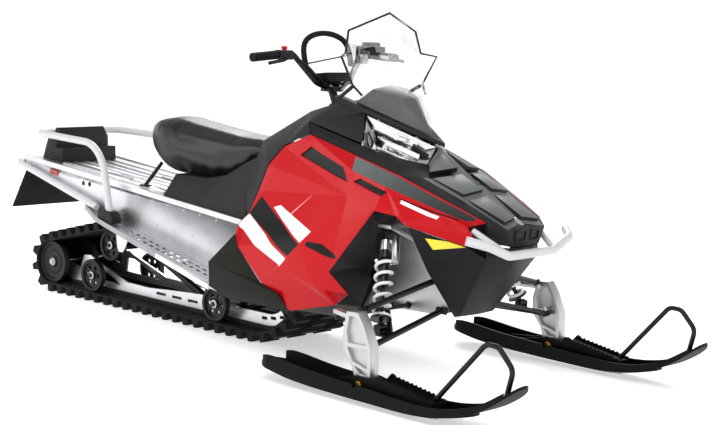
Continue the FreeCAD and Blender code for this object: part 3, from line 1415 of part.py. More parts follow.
def curved_prism(low, high, y_low, y_high):
    """Extrudes the area between a lower and an upper smooth line."""
    start = Part.LineSegment(Vector(low[0][0], 0, low[0][1]), Vector(high[0][0], 0, high[0][1]))
    end = Part.LineSegment(Vector(low[-1][0], 0, low[-1][1]), Vector(high[-1][0], 0, high[-1][1]))
    wire = Part.Wire(Part.__sortEdges__([smooth(low), end.toShape(), smooth(high), start.toShape()]))
    area = Part.Face(wire)
    area.translate(Vector(0, y_low, 0))
    return area.extrude(Vector(0, y_high - y_low, 0))


SHEET_LINE = [(0.0, 58), (0.05, 48), (0.12, 35), (0.25, 24), (0.40, 20), (0.55, 18), (0.62, 18),
              (0.72, 27), (0.80, 47), (0.88, 80), (0.95, 128), (1.0, 176)]
WALL_LINE = [(0.0, 74), (0.03, 92), (0.09, 96), (0.20, 84), (0.40, 72), (0.60, 60), (0.72, 60),
             (0.80, 74), (0.88, 104), (0.95, 150), (1.0, 190)]
KEEL_LINE = [(0.06, 44), (0.12, 30), (0.25, 17), (0.40, 10.5), (0.52, 9.1), (0.612, 8.6), (0.70, 15),
             (0.78, 33), (0.84, 52)]


def ski(side):
    """A moulded ski: a curved sheet with side walls, a keel and a ribbed saddle."""
    stance = side * size("ski_stance") / 2
    half = size("ski_width") / 2
    sheet_low = [(ski_x(share), z) for share, z in SHEET_LINE]
    sheet_high = [(x, z + size("ski_sheet")) for x, z in sheet_low]
    pieces = [curved_prism(sheet_low, sheet_high, stance - half, stance + half)]
    wall_high = [(ski_x(share), z) for share, z in WALL_LINE]
    for way in (-1, 1):
        y_low, y_high = sorted((stance + way * half, stance + way * (half - size("ski_side_wall"))))
        pieces.append(curved_prism(sheet_low, wall_high, y_low, y_high))
    keel_low = [(ski_x(share), z) for share, z in KEEL_LINE]
    keel_high = [(x, z + 18) for x, z in keel_low]
    pieces.append(curved_prism(keel_low, keel_high, stance - 17, stance + 17))
    bolt_x, bolt_z = size("ski_bolt_forward"), size("ski_bolt_height")
    rib = [(bolt_x - 260, 30), (bolt_x - 230, 62), (bolt_x - 120, 72), (bolt_x - 60, 84),
           (bolt_x - 24, 94), (bolt_x + 30, 94), (bolt_x + 62, 88), (bolt_x + 84, 112)]
    teeth = 11
    for step in range(teeth):
        start = bolt_x + 96 + step * 19
        crest = 108 - step * 3.0
        rib += [(start, crest), (start + 9, crest - 8)]
    rib += [(bolt_x + 318, 70), (bolt_x + 322, 30), (bolt_x + 100, 22), (bolt_x - 60, 24)]
    for way in (-1, 1):
        near = size("saddle_gap") / 2
        y_low, y_high = sorted((stance + way * near, stance + way * (near + size("ski_rib"))))
        pieces.append(prism(rib, y_low, y_high))
    saddle = [(bolt_x + 84, 24), (bolt_x + 84, 96), (bolt_x + 130, 88), (bolt_x + 300, 61),
              (bolt_x + 322, 61), (bolt_x + 322, 30)]
    saddle_half = size("saddle_gap") / 2 + 1
    pieces.append(prism(saddle, stance - saddle_half, stance + saddle_half))
    whole = fused(pieces)
    start, end = ski_x(0), ski_x(1)
    bounds = fused([block(start + half, end - half, stance - half, stance + half, -5, 260),
                    Part.makeCylinder(half, 265, Vector(start + half, stance, -5)),
                    Part.makeCylinder(half, 265, Vector(end - half, stance, -5))])
    whole = whole.common(bounds)
    return whole.cut(rod((bolt_x, stance - 80, bolt_z), (bolt_x, stance + 80, bolt_z),
                         size("ski_bolt_radius") + size("running_gap")))


def ski_hardware(side):
    """The bolt that carries the ski and the steel runner under its keel."""
    stance = side * size("ski_stance") / 2
    bolt_x, bolt_z = size("ski_bolt_forward"), size("ski_bolt_height")
    reach = size("saddle_gap") / 2 + size("ski_rib") + size("running_gap")
    bolt = [rod((bolt_x, stance - reach - 9, bolt_z), (bolt_x, stance + reach + 9, bolt_z),
                size("ski_bolt_radius"))]
    for way in (-1, 1):
        y_low, y_high = sorted((stance + way * reach, stance + way * (reach + 7)))
        bolt.append(rod((bolt_x, y_low, bolt_z), (bolt_x, y_high, bolt_z), 13))
    line = [(share, z) for share, z in KEEL_LINE if 0.2 < share < 0.75]
    high = [(ski_x(share), z - 2 * size("running_gap")) for share, z in line]
    low = [(ski_x(share), z - size("wear_bar_depth")) for share, z in line]
    bar = curved_prism(low, high, stance - size("wear_bar_width") / 2,
                       stance + size("wear_bar_width") / 2)
    return Part.makeCompound([fused(bolt), bar])


def ski_loop(side):
    """The bent tube that a rider lifts the ski by."""
    stance = side * size("ski_stance") / 2
    route = [(1222, stance, 67.3), (1420, stance, 292), (1470, stance, 290), (1532, stance, 226),
             (1512, stance, 141.5)]
    return tube(route, size("loop_tube_radius"), [38] * 3)


def skis():
    for name, side in SIDES:
        keep("ski_" + name, ski(side))
        keep("ski_hardware_" + name, ski_hardware(side))
        keep("ski_loop_" + name, ski_loop(side))


# Steering

BAR_CENTRE = (186, 0, 1014)
BAR_BEND = (152, 190, 1140)
BAR_END = (156, 1124)


def steering():
    bar_x, _, bar_z = BAR_CENTRE
    post = [rod(post_point(14), post_point(128), size("post_radius")),
            block(bar_x - 26, bar_x + 26, -34, 34, bar_z - 18, bar_z + 2)]
    keep("steering_post", fused(post).cut(bar_space()))
    end = size("bar_width") / 2
    end_x, end_z = BAR_END
    bend_x, bend_y, bend_z = BAR_BEND
    route = [(end_x, end, end_z), (bend_x, bend_y, bend_z), (bar_x + 4, 92, bar_z + 18),
             (bar_x, 40, bar_z)]
    right_half = [(x, -y, z) for x, y, z in route]
    keep("handlebar", tube(right_half + route[::-1], size("bar_radius"), [30] * 6))
    grips = []
    for side in (-1, 1):
        inner_end = between((end_x, side * end, end_z), (bend_x, side * bend_y, bend_z),
                            size("grip_length") / (end - bend_y))
        outer_end = (end_x, side * (end + 3), end_z - 0.2)
        grip = rod(inner_end, outer_end, size("grip_radius"))
        core = rod(between(outer_end, inner_end, 0.02), between(inner_end, outer_end, -0.2),
                   size("bar_radius") + 0.2)
        grips.append(grip.cut(core))
    keep("grips", Part.makeCompound(grips))


def bar_space():
    """Room for the handlebar's straight middle inside its clamp."""
    bar_x, _, bar_z = BAR_CENTRE
    return rod((bar_x, -80, bar_z), (bar_x, 80, bar_z), size("bar_radius") + 0.2)


def steering_trim():
    """The pad and the grab hoop on the handlebar."""
    pad = hexahedron([(146, -58, 1036), (236, -54, 1036), (236, 54, 1036), (146, 58, 1036)],
                     [(150, -84, 1062), (226, -74, 1072), (226, 74, 1072), (150, 84, 1062)])
    bar_x, _, bar_z = BAR_CENTRE
    bar_top = bar_z + size("bar_radius") + size("running_gap")
    foot = block(bar_x - 18, bar_x + 18, -36, 36, bar_top, bar_z + 24)
    keep("bar_pad", fused([pad, foot]))
    hoop = tube([(164.6, -125, 1093), (146, -126, 1160), (132, -70, 1208), (132, 70, 1208),
                 (146, 126, 1160), (164.6, 125, 1093)], 8, [52] * 4)
    keep("bar_hoop", hoop)


tunnel()
for board_name, board_side in SIDES:
    running_board(board_name, board_side)
rear_bumper()
cargo_rail()
rail_feet()
snow_flap()
tail_light_housing()
red_lamps()
seat()
seat_base()
seat_strut()
track()
rear_idlers()
rail_wheels()
carrier_wheels()
slide_rails()
slide_runners()
torque_arms()
drop_brackets()
rear_shock()
drive_axle()
side_panels()
vent_screens()
footwells()
hood_corners = hood()
console_corners = console()
brow()
headlights(console_corners, hood_corners)
gauge_cowl()
windshield()
belly_pan()
belly_tub()
bulkhead()
engine()
front_bumper()
a_arms()
front_shocks()
front_springs()
spindles()
tie_rods()
skis()
steering()
steering_trim()
doc.recompute()

for item in doc.Objects:
    if "Invalid" in item.State or "Error" in item.State:
        raise RuntimeError("%s: %s" % (item.Label, item.State))

os.makedirs("parts", exist_ok=True)
for item in nodes:
    if item.Shape.isNull() or not item.Shape.isValid():
        raise RuntimeError("%s has no valid shape" % item.Label)
print("box", Part.makeCompound([item.Shape for item in nodes]).BoundBox)
for item in nodes:
    item.Shape.exportStep("parts/%s.step" % item.Label)
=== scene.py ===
import math
from collections import namedtuple

import bmesh
import bpy
from mathutils import Matrix, Vector


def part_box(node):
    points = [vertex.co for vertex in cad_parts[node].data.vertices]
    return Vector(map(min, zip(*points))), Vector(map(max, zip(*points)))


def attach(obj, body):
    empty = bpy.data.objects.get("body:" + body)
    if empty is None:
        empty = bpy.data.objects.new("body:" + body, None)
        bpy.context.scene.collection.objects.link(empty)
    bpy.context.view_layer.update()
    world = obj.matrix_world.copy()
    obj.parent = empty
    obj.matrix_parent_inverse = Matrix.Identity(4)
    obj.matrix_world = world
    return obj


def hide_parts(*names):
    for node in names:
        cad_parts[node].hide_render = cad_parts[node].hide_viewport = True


bl_info = {
    "name": "Snowmobile Looks",
    "version": (1, 0, 0),
    "blender": (4, 5, 0),
    "location": "3D View > Sidebar > Snowmobile",
    "description": "Dresses the packed snowmobile with its paint, plastics, metals and seat",
    "category": "Object",
}

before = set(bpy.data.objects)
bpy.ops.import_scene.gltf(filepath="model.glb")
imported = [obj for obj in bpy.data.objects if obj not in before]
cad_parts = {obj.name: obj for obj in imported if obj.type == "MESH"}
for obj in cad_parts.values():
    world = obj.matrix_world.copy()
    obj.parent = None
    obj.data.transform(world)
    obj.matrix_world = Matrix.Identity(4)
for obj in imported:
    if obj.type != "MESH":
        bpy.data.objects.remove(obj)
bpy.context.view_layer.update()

# One millimetre in Blender's metres.
MM = 0.001

# The side the photograph shows is -1, the other is 1.
SIDES = (("right", -1), ("left", 1))


# Colours and nodes

def linear(code):
    """A linear colour from its sRGB hex value."""
    parts = [int(code[place:place + 2], 16) / 255 for place in (0, 2, 4)]
    return tuple(part / 12.92 if part <= 0.04045 else ((part + 0.055) / 1.055) ** 2.4
                 for part in parts)


def add_node(tree, kind, settings=None, links=None):
    """Adds a node with its settings, and links outputs of other nodes to its inputs."""
    node = tree.nodes.new(kind)
    for key, value in (settings or {}).items():
        if isinstance(key, int) or key in node.inputs:
            node.inputs[key].default_value = value
        else:
            setattr(node, key, value)
    for key, output in (links or {}).items():
        tree.links.new(output, node.inputs[key])
    return node


Skin = namedtuple("Skin", "material tree shader place")


def surface(name, colour, roughness, metallic=0.0, **inputs):
    """A new material with one shader, and the Object coordinates for its patterns."""
    material = bpy.data.materials.new(name)
    material.use_nodes = True
    tree = material.node_tree
    tree.nodes.clear()
    settings = {"Base Color": (*colour, 1), "Roughness": roughness, "Metallic": metallic}
    for key, value in inputs.items():
        settings[key.replace("_", " ")] = value
    shader = add_node(tree, "ShaderNodeBsdfPrincipled", settings)
    add_node(tree, "ShaderNodeOutputMaterial", links={"Surface": shader.outputs["BSDF"]})
    place = add_node(tree, "ShaderNodeTexCoord").outputs["Object"]
    material.diffuse_color = (*colour, 1)
    return Skin(material, tree, shader, place)


def per_metre(size_mm):
    """A texture's scale from the real size of its pattern in millimetres."""
    return 1000 / size_mm


def shade(colour, amount):
    """The same colour, lighter above 1 and darker below it."""
    return tuple(min(1, part * amount) for part in colour)


def embossed(skin, kind, settings, output, depth_mm, strength):
    """Lays a pattern on a surface as bumps of a real depth."""
    pattern = add_node(skin.tree, kind, settings, {"Vector": skin.place})
    bump = add_node(skin.tree, "ShaderNodeBump", {"Strength": strength, "Distance": depth_mm * MM},
                    {"Height": pattern.outputs[output]})
    skin.tree.links.new(bump.outputs["Normal"], skin.shader.inputs["Normal"])


def grained(skin, size_mm, detail, depth_mm, strength):
    """Gives a surface an irregular grain of a real size and depth."""
    settings = {"Scale": per_metre(size_mm), "Detail": detail}
    embossed(skin, "ShaderNodeTexNoise", settings, "Fac", depth_mm, strength)


# The places of a cloud's two tones on its ramp: the nearer they are, the sharper its patches.
CLOUD_STOPS = (0.35, 0.65)


def mottled(skin, colour, size_mm, detail, dark, light):
    """Clouds a surface between a darker and a lighter tone, in patches of a real size."""
    cloud = add_node(skin.tree, "ShaderNodeTexNoise",
                     {"Scale": per_metre(size_mm), "Detail": detail}, {"Vector": skin.place})
    ramp = add_node(skin.tree, "ShaderNodeValToRGB", links={"Fac": cloud.outputs["Fac"]})
    for stop, amount, position in zip(ramp.color_ramp.elements, (dark, light), CLOUD_STOPS):
        stop.color = (*shade(colour, amount), 1)
        stop.position = position
    skin.tree.links.new(ramp.outputs["Color"], skin.shader.inputs["Base Color"])


def uneven(skin, scale, detail, least, most, place=None):
    """Varies a surface's roughness between two values, in a pattern of a scale."""
    pattern = add_node(skin.tree, "ShaderNodeTexNoise", {"Scale": scale, "Detail": detail},
                       {"Vector": place or skin.place})
    spread = add_node(skin.tree, "ShaderNodeMapRange", {"To Min": least, "To Max": most},
                      {"Value": pattern.outputs["Fac"]})
    skin.tree.links.new(spread.outputs["Result"], skin.shader.inputs["Roughness"])


# Finishes

def gloss_abs(name, colour):
    """Injection-moulded ABS with its mould's polish: a clear hard gloss, faintly rippled."""
    skin = surface(name, colour, roughness=0.3, IOR=1.54, Specular_IOR_Level=0.14,
                   Coat_Weight=0.14, Coat_Roughness=0.07, Coat_IOR=1.5)
    # Flow ripples in a moulded panel are about 60 mm apart and hardly deep enough to see.
    grained(skin, size_mm=60, detail=1.0, depth_mm=0.5, strength=0.25)
    return skin.material


def grained_plastic(name, colour, roughness=0.55, grain_mm=5.0, shine=0.14):
    """Moulded polypropylene with a fine leather grain, dull with soft lights on its edges."""
    skin = surface(name, colour, roughness, IOR=1.49, Specular_IOR_Level=shine)
    # The real grain is about 1 mm and is drawn coarser, so that it shows at all.
    grained(skin, size_mm=grain_mm, detail=3.0, depth_mm=0.6, strength=0.22)
    mottled(skin, colour, size_mm=240, detail=2.0, dark=0.82, light=1.2)
    return skin.material


def brushed_sheet(name, colour, roughness=0.34):
    """Mill-finished aluminium sheet: long rolling lines and a bright, soft sheen."""
    skin = surface(name, colour, roughness, metallic=1.0)
    # Rolling lines are 3 mm apart across and run 300 mm along the sheet.
    scale = (per_metre(300), per_metre(3), per_metre(3))
    lines = add_node(skin.tree, "ShaderNodeMapping", {"Scale": scale}, {"Vector": skin.place})
    uneven(skin, scale=1.0, detail=3.0, least=roughness - 0.07, most=roughness + 0.1,
           place=lines.outputs["Vector"])
    mottled(skin, colour, size_mm=160, detail=3.0, dark=0.88, light=1.06)
    return skin.material


def cast_metal(name, colour, roughness=0.42):
    """Die-cast aluminium: a fine pebbled skin that spreads its lights."""
    skin = surface(name, colour, roughness, metallic=1.0)
    # A casting's skin has a grain of 1 to 2 mm, drawn at 7 mm so that it shows.
    grained(skin, size_mm=7, detail=4.0, depth_mm=0.7, strength=0.35)
    return skin.material


def powder_coat(name, colour, roughness=0.38):
    """Powder-coated steel: an even colour with a fine orange peel."""
    skin = surface(name, colour, roughness, IOR=1.5, Specular_IOR_Level=0.25, Coat_Weight=0.15,
                   Coat_Roughness=0.2)
    # Orange peel has waves of about 2 mm, drawn at 4 mm.
    grained(skin, size_mm=4, detail=2.0, depth_mm=0.3, strength=0.2)
    return skin.material


def turned_steel(name, colour, roughness=0.28):
    """Zinc-plated or polished steel, with faint cloudy variation."""
    skin = surface(name, colour, roughness, metallic=1.0)
    # The plating's clouds are about 30 mm across.
    uneven(skin, per_metre(30), detail=3.0, least=roughness - 0.08, most=roughness + 0.12)
    return skin.material


def track_rubber(name, colour):
    """Moulded track rubber: matt, a little chalky on its worn high spots."""
    skin = surface(name, colour, roughness=0.72, IOR=1.52, Specular_IOR_Level=0.2)
    # Mould texture of 8 mm and chalky patches of 90 mm.
    grained(skin, size_mm=8, detail=4.0, depth_mm=1.2, strength=0.4)
    mottled(skin, colour, size_mm=90, detail=5.0, dark=0.7, light=1.7)
    return skin.material


def seat_vinyl(name, colour):
    """Marine vinyl over foam: a soft low sheen with a pebbled grain."""
    skin = surface(name, colour, roughness=0.36, IOR=1.5, Specular_IOR_Level=0.55,
                   Sheen_Weight=0.04, Sheen_Roughness=0.4)
    # Leather pebbles are 1.5 mm, drawn at 5 mm so that they catch the light.
    embossed(skin, "ShaderNodeTexVoronoi", {"Scale": per_metre(5), "feature": "SMOOTH_F1"},
             "Distance", depth_mm=0.5, strength=0.35)
    mottled(skin, colour, size_mm=120, detail=3.0, dark=0.8, light=1.25)
    return skin.material


def clear_polycarbonate(name, tint, roughness=0.03):
    """Clear polycarbonate sheet: see-through with bright edges and crisp reflections."""
    # The real IOR is 1.58, but the close walls of a thin sheet hardly shift what is behind them.
    skin = surface(name, tint, roughness, IOR=1.12, Transmission_Weight=1.0,
                   Specular_IOR_Level=0.35, Alpha=0.2)
    # Scratches from wiping are too fine to show, so they are drawn 25 mm apart.
    uneven(skin, per_metre(25), detail=2.0, least=roughness, most=roughness + 0.05)
    return skin.material


def lamp_chrome(name, colour):
    """Vacuum-metallised reflector: a mirror with slight waves."""
    skin = surface(name, colour, roughness=0.06, metallic=1.0)
    # The moulding under the metal waves every 14 mm.
    grained(skin, size_mm=14, detail=1.0, depth_mm=1.0, strength=0.3)
    return skin.material


def lens_plastic(name, colour):
    """Coloured acrylic with moulded ribs behind its face."""
    skin = surface(name, colour, roughness=0.15, IOR=1.49, Coat_Weight=1.0,
                   Coat_Roughness=0.04)
    # A wave pattern of 20 mm repeats about three times in it, so the ribs are 6 mm apart.
    settings = {"Scale": per_metre(20), "wave_type": "BANDS", "bands_direction": "X"}
    embossed(skin, "ShaderNodeTexWave", settings, "Fac", depth_mm=0.8, strength=0.4)
    return skin.material


def faded_vinyl(name, dark, light_code, start, end):
    """Printed decal film that fades from a light grey to a dark one along the panel, in metres."""
    skin = surface(name, dark, roughness=0.3, IOR=1.5, Coat_Weight=0.6, Coat_Roughness=0.08)
    axes = add_node(skin.tree, "ShaderNodeSeparateXYZ", links={"Vector": skin.place})
    along = add_node(skin.tree, "ShaderNodeMapRange", {"From Min": start, "From Max": end},
                     {"Value": axes.outputs["X"]})
    ramp = add_node(skin.tree, "ShaderNodeValToRGB", links={"Fac": along.outputs["Result"]})
    for stop, tone in zip(ramp.color_ramp.elements, (linear(light_code), dark)):
        stop.color = (*tone, 1)
    skin.tree.links.new(ramp.outputs["Color"], skin.shader.inputs["Base Color"])
    return skin.material


# Each finish: its maker, its name, its colour or the setting that holds it, and what else it takes.
FINISHES = {
    "red_abs": (gloss_abs, "Gloss red ABS", "panel_red"),
    "white_film": (gloss_abs, "White decal film", "stripe_white"),
    "black_film": (gloss_abs, "Black decal film", "stripe_black"),
    # A painted highlight: a thin pale line where a panel's crease catches the light, laid in like a
    # decal.
    "painted_crease_highlight": (gloss_abs, "Painted crease highlight", "F0A39A"),
    "grey_film": (faded_vinyl, "Faded grey decal film", "17191A", "6E7774", 0.50, 0.98),
    "red_button": (gloss_abs, "Red switch cap", "C40A12"),
    "lamp_dark": (gloss_abs, "Dark lamp housing", "242628"),
    "black_pp": (grained_plastic, "Black grained polypropylene", "plastic_black", 0.55, 5.0, 0.42),
    "pan_pp": (grained_plastic, "Dark grey polypropylene", "pan_grey", 0.45),
    "olive_pp": (grained_plastic, "Footwell polypropylene", "191A15", 0.5),
    # A painted sheen: grey on the louvres' up-facing tops, where the light falls on them.
    "louvre_top_sheen": (grained_plastic, "Painted louvre-top sheen", "6C6F71", 0.42),
    "smoke_pc": (grained_plastic, "Smoke grey cowl", "5C5C5E", 0.28, 9.0),
    "ski_pe": (grained_plastic, "Black ski polyethylene", "060607", 0.55, 6.0),
    "sheet": (brushed_sheet, "Mill-finished aluminium sheet", "E4E5E8"),
    "board_sheet": (brushed_sheet, "Dulled aluminium board", "A8A9AC", 0.4),
    "cast": (cast_metal, "Die-cast aluminium", "CACBCD"),
    "grey_cast": (cast_metal, "Sand-cast aluminium", "8F9092", 0.5),
    # A painted highlight: near-white paint on the rolled edges of the tunnel and boards, where the
    # light catches them.
    "painted_edge_highlight": (powder_coat, "Painted edge highlight", "EFEFEF", 0.3),
    "black_steel": (powder_coat, "Black powder-coated steel", "0B0B0C"),
    "silver_steel": (powder_coat, "Silver powder-coated steel", "D5D7D9", 0.3),
    "white_steel": (powder_coat, "White powder-coated spring steel", "F2F2F2", 0.25),
    "zinc": (turned_steel, "Zinc-plated steel", "B9BBBE"),
    "gold_zinc": (turned_steel, "Yellow-passivated steel", "B98F3C", 0.3),
    "rubber": (track_rubber, "Black moulded rubber", "101011"),
    "track": (track_rubber, "Track rubber", "131313"),
    "vinyl": (seat_vinyl, "Black seat vinyl", "seat_black"),
    "screen": (clear_polycarbonate, "Clear polycarbonate", "FFFFFF"),
    "lens": (clear_polycarbonate, "Clear headlight lens", "FFFFFF", 0.01),
    "chrome": (lamp_chrome, "Lamp reflector chrome", "EDEEEF"),
    "red_lens": (lens_plastic, "Red acrylic", "B1040B"),
    "amber": (lens_plastic, "Yellow reflector acrylic", "reflector_yellow"),
}
made = {}


def finish(name):
    """The material of that finish, made the first time it is asked for."""
    if name not in made:
        maker, title, colour, *rest = FINISHES[name]
        paint = bpy.context.scene.snowmobile_paint
        tone = getattr(paint, colour) if hasattr(paint, colour) else linear(colour)
        made[name] = maker(title, tone, *rest)
    return made[name]


# Mesh helpers

# Points nearer than this, in metres, are one point where a plane cuts a mesh or a turned
# section closes.
SAME_PLACE = 1e-6

# How far past a decal its cuts reach, in metres, and how far a face that takes it leans outward.
CUT_MARGIN = 0.02
LEAST_LEAN = 0.05

# Points of a CAD mesh this close, in mm, become one, and so do faces that turn by less than this
# many degrees.
MERGE_GAP = 0.01
FLAT_TURN = 0.5


def node_mesh(node):
    """A merged working copy of a CAD node's mesh."""
    mesh = bmesh.new()
    mesh.from_mesh(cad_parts[node].data)
    bmesh.ops.remove_doubles(mesh, verts=mesh.verts, dist=MERGE_GAP * MM)
    bmesh.ops.dissolve_limit(mesh, angle_limit=math.radians(FLAT_TURN), verts=mesh.verts,
                             edges=mesh.edges)
    return mesh


def rolled(mesh, edges, width_mm, segments):
    """Rounds edges of a mesh, and gives the new faces."""
    result = bmesh.ops.bevel(mesh, geom=edges, offset=width_mm * MM, offset_type="OFFSET",
                             affect="EDGES", segments=segments, profile=0.5, material=-1,
                             clamp_overlap=True)
    return result["faces"]


def soften(mesh, width_mm, angle, segments=2):
    """Rounds every edge that turns by more than an angle in degrees."""
    limit = math.radians(angle)
    edges = [edge for edge in mesh.edges
             if len(edge.link_faces) == 2 and edge.calc_face_angle(0) > limit]
    rolled(mesh, edges, width_mm, segments)


def piece(name, mesh, finishes, body, stands_for=(), smooth=35):
    """An object of a mesh with its finishes, on its body, smooth up to an angle in degrees."""
    data = bpy.data.meshes.new(name)
    mesh.normal_update()
    mesh.to_mesh(data)
    mesh.free()
    for entry in finishes:
        data.materials.append(finish(entry))
    data.shade_smooth()
    data.set_sharp_from_angle(angle=math.radians(smooth))
    thing = bpy.data.objects.new(name, data)
    bpy.context.scene.collection.objects.link(thing)
    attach(thing, body)
    if stands_for:
        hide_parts(*stands_for)
    return thing


def dress(material, *nodes):
    """Gives CAD nodes that keep their shape a finish."""
    for node in nodes:
        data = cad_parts[node].data
        data.materials.clear()
        data.materials.append(finish(material))


def softened(node, material, body, width_mm, angle, segments=2, smooth=35):
    """A CAD node's shape in one finish with rounded edges, standing for the node."""
    mesh = node_mesh(node)
    soften(mesh, width_mm, angle, segments)
    piece(node + "_shell", mesh, [material], body, (node,), smooth)


def inside(spot, corners):
    """Whether a point lies in a convex outline, both as pairs of numbers."""
    turns = []
    for (xa, ya), (xb, yb) in zip(corners, corners[1:] + corners[:1]):
        turns.append((xb - xa) * (spot[1] - ya) - (yb - ya) * (spot[0] - xa) > 0)
    return all(turns) or not any(turns)


def cut_out(mesh, outline, index, side):
    """Scores a convex outline of (x, z) in mm into the faces on a side, and paints it."""
    corners = [Vector((x * MM, 0, z * MM)) for x, z in outline]
    middle = sum(corners, Vector()) / len(corners)
    span = max((corner - middle).length for corner in corners) + CUT_MARGIN
    for start, end in zip(corners, corners[1:] + corners[:1]):
        near = []
        for face in mesh.faces:
            centre = face.calc_center_median()
            reach = max((vert.co - centre).length for vert in face.verts)
            away = Vector((centre.x - middle.x, 0, centre.z - middle.z))
            if face.normal.y * side > LEAST_LEAN and away.length < span + reach:
                near.append(face)
        geom = set(near)
        for face in near:
            geom.update(face.edges)
            geom.update(face.verts)
        along = end - start
        normal = Vector((along.z, 0, -along.x)).normalized()
        bmesh.ops.bisect_plane(mesh, geom=list(geom), dist=SAME_PLACE, plane_co=start,
                               plane_no=normal)
    flat = [(corner.x, corner.z) for corner in corners]
    for face in mesh.faces:
        centre = face.calc_center_median()
        if face.normal.y * side > LEAST_LEAN and inside((centre.x, centre.z), flat):
            face.material_index = index


def tube_mesh(points, radius_mm, smooth=False, resolution=3):
    """A round bar along points in mm, straight between them or smooth, as a mesh."""
    curve = bpy.data.curves.new("bar", "CURVE")
    curve.dimensions = "3D"
    curve.bevel_depth = radius_mm * MM
    curve.bevel_resolution = resolution
    curve.use_fill_caps = True
    spline = curve.splines.new("NURBS" if smooth else "POLY")
    spline.points.add(len(points) - 1)
    for spot, point in zip(spline.points, points):
        spot.co = (*[part * MM for part in point], 1)
    if smooth:
        spline.order_u = 3
        spline.use_endpoint_u = True
    thing = bpy.data.objects.new("bar", curve)
    data = bpy.data.meshes.new_from_object(thing)
    mesh = bmesh.new()
    mesh.from_mesh(data)
    bpy.data.objects.remove(thing)
    bpy.data.curves.remove(curve)
    bpy.data.meshes.remove(data)
    return mesh


def join(target, other, index=None):
    """Adds another mesh to the target, with one material index if one is given."""
    if index is not None:
        for face in other.faces:
            face.material_index = index
    data = bpy.data.meshes.new("joined")
    other.to_mesh(data)
    other.free()
    target.from_mesh(data)
    bpy.data.meshes.remove(data)
    return target


def spun(profile, centre, axis, steps):
    """Turns a profile of (radius, offset along the axis) in mm round an axis through a centre."""
    way = Vector(axis).normalized()
    across = way.orthogonal().normalized()
    origin = Vector(centre) * MM
    mesh = bmesh.new()
    verts = [mesh.verts.new(origin + across * (radius * MM) + way * (offset * MM))
             for radius, offset in profile]
    edges = [mesh.edges.new(pair) for pair in zip(verts, verts[1:])]
    bmesh.ops.spin(mesh, geom=verts + edges, cent=origin, axis=way, dvec=(0, 0, 0),
                   angle=math.tau, steps=steps, use_merge=True)
    bmesh.ops.remove_doubles(mesh, verts=mesh.verts, dist=SAME_PLACE)
    bmesh.ops.recalc_face_normals(mesh, faces=mesh.faces)
    return mesh


def brick(size, centre, bevel_mm, segments=2, turn=None):
    """A box of a size in mm with rounded edges, turned by a matrix and set at a centre."""
    mesh = bmesh.new()
    bmesh.ops.create_cube(mesh, size=1)
    bmesh.ops.scale(mesh, vec=Vector(size) * MM, verts=mesh.verts)
    rolled(mesh, mesh.edges[:], bevel_mm, segments)
    if turn is not None:
        bmesh.ops.transform(mesh, matrix=turn.to_4x4(), verts=mesh.verts)
    bmesh.ops.translate(mesh, vec=Vector(centre) * MM, verts=mesh.verts)
    return mesh


def beam(start, end, width, height, bevel_mm=1.0):
    """A flat bar between two points in mm, of a width and a height."""
    run = Vector(end) - Vector(start)
    turn = run.to_track_quat("X", "Z").to_matrix()
    middle = (Vector(start) + Vector(end)) / 2
    return brick((run.length, width, height), middle, bevel_mm, turn=turn)


def both_sides(mesh):
    """A mesh with its mirror image across the machine's middle added, its faces still outwards."""
    twin = mesh.copy()
    bmesh.ops.scale(twin, vec=(1, -1, 1), verts=twin.verts)
    bmesh.ops.reverse_faces(twin, faces=twin.faces)
    return join(mesh, twin)


def relax(mesh, rounds):
    """Smooths a mesh's points a number of times."""
    for _ in range(rounds):
        bmesh.ops.smooth_vert(mesh, verts=mesh.verts, factor=0.5, use_axis_x=True,
                              use_axis_y=True, use_axis_z=True)


# The pressure in the foam, the frames it has to swell, and the smoothing of its cover after it.
FOAM_PRESSURE = 4
FOAM_FRAMES = 20
COVER_ROUNDS = 10


def swollen(mesh, voxel_mm, shrink_mm, cap_mm, rounds):
    """Foam in its cover: the form is remeshed, drawn in and blown up as cloth, up to a cap."""
    scene = bpy.context.scene
    data = bpy.data.meshes.new("foam")
    mesh.to_mesh(data)
    mesh.free()
    foam = bpy.data.objects.new("foam", data)
    scene.collection.objects.link(foam)
    remesh = foam.modifiers.new("Foam grid", "REMESH")
    remesh.mode = "VOXEL"
    remesh.voxel_size = voxel_mm * MM
    grid = bmesh.new()
    grid.from_mesh(foam.evaluated_get(bpy.context.evaluated_depsgraph_get()).data)
    foam.modifiers.clear()
    relax(grid, rounds)
    grid.normal_update()
    for vert in grid.verts:
        vert.co -= vert.normal * (shrink_mm * MM)
    grid.to_mesh(data)
    cloth = foam.modifiers.new("Foam pressure", "CLOTH")
    cloth.settings.use_pressure = True
    cloth.settings.uniform_pressure_force = FOAM_PRESSURE
    cloth.settings.effector_weights.gravity = 0
    cloth.point_cache.frame_start = 1
    cloth.point_cache.frame_end = FOAM_FRAMES
    for step in range(FOAM_FRAMES):
        scene.frame_set(step + 1)
    blown = foam.evaluated_get(bpy.context.evaluated_depsgraph_get()).data
    for vert, target in zip(grid.verts, blown.vertices):
        move = target.co - vert.co
        if move.length > cap_mm * MM:
            move.length = cap_mm * MM
        vert.co += move
    relax(grid, COVER_ROUNDS)
    scene.frame_set(1)
    bpy.data.objects.remove(foam)
    return grid


# Side panels

PANEL_FINISHES = ["red_abs", "black_film", "white_film", "grey_film", "painted_crease_highlight"]
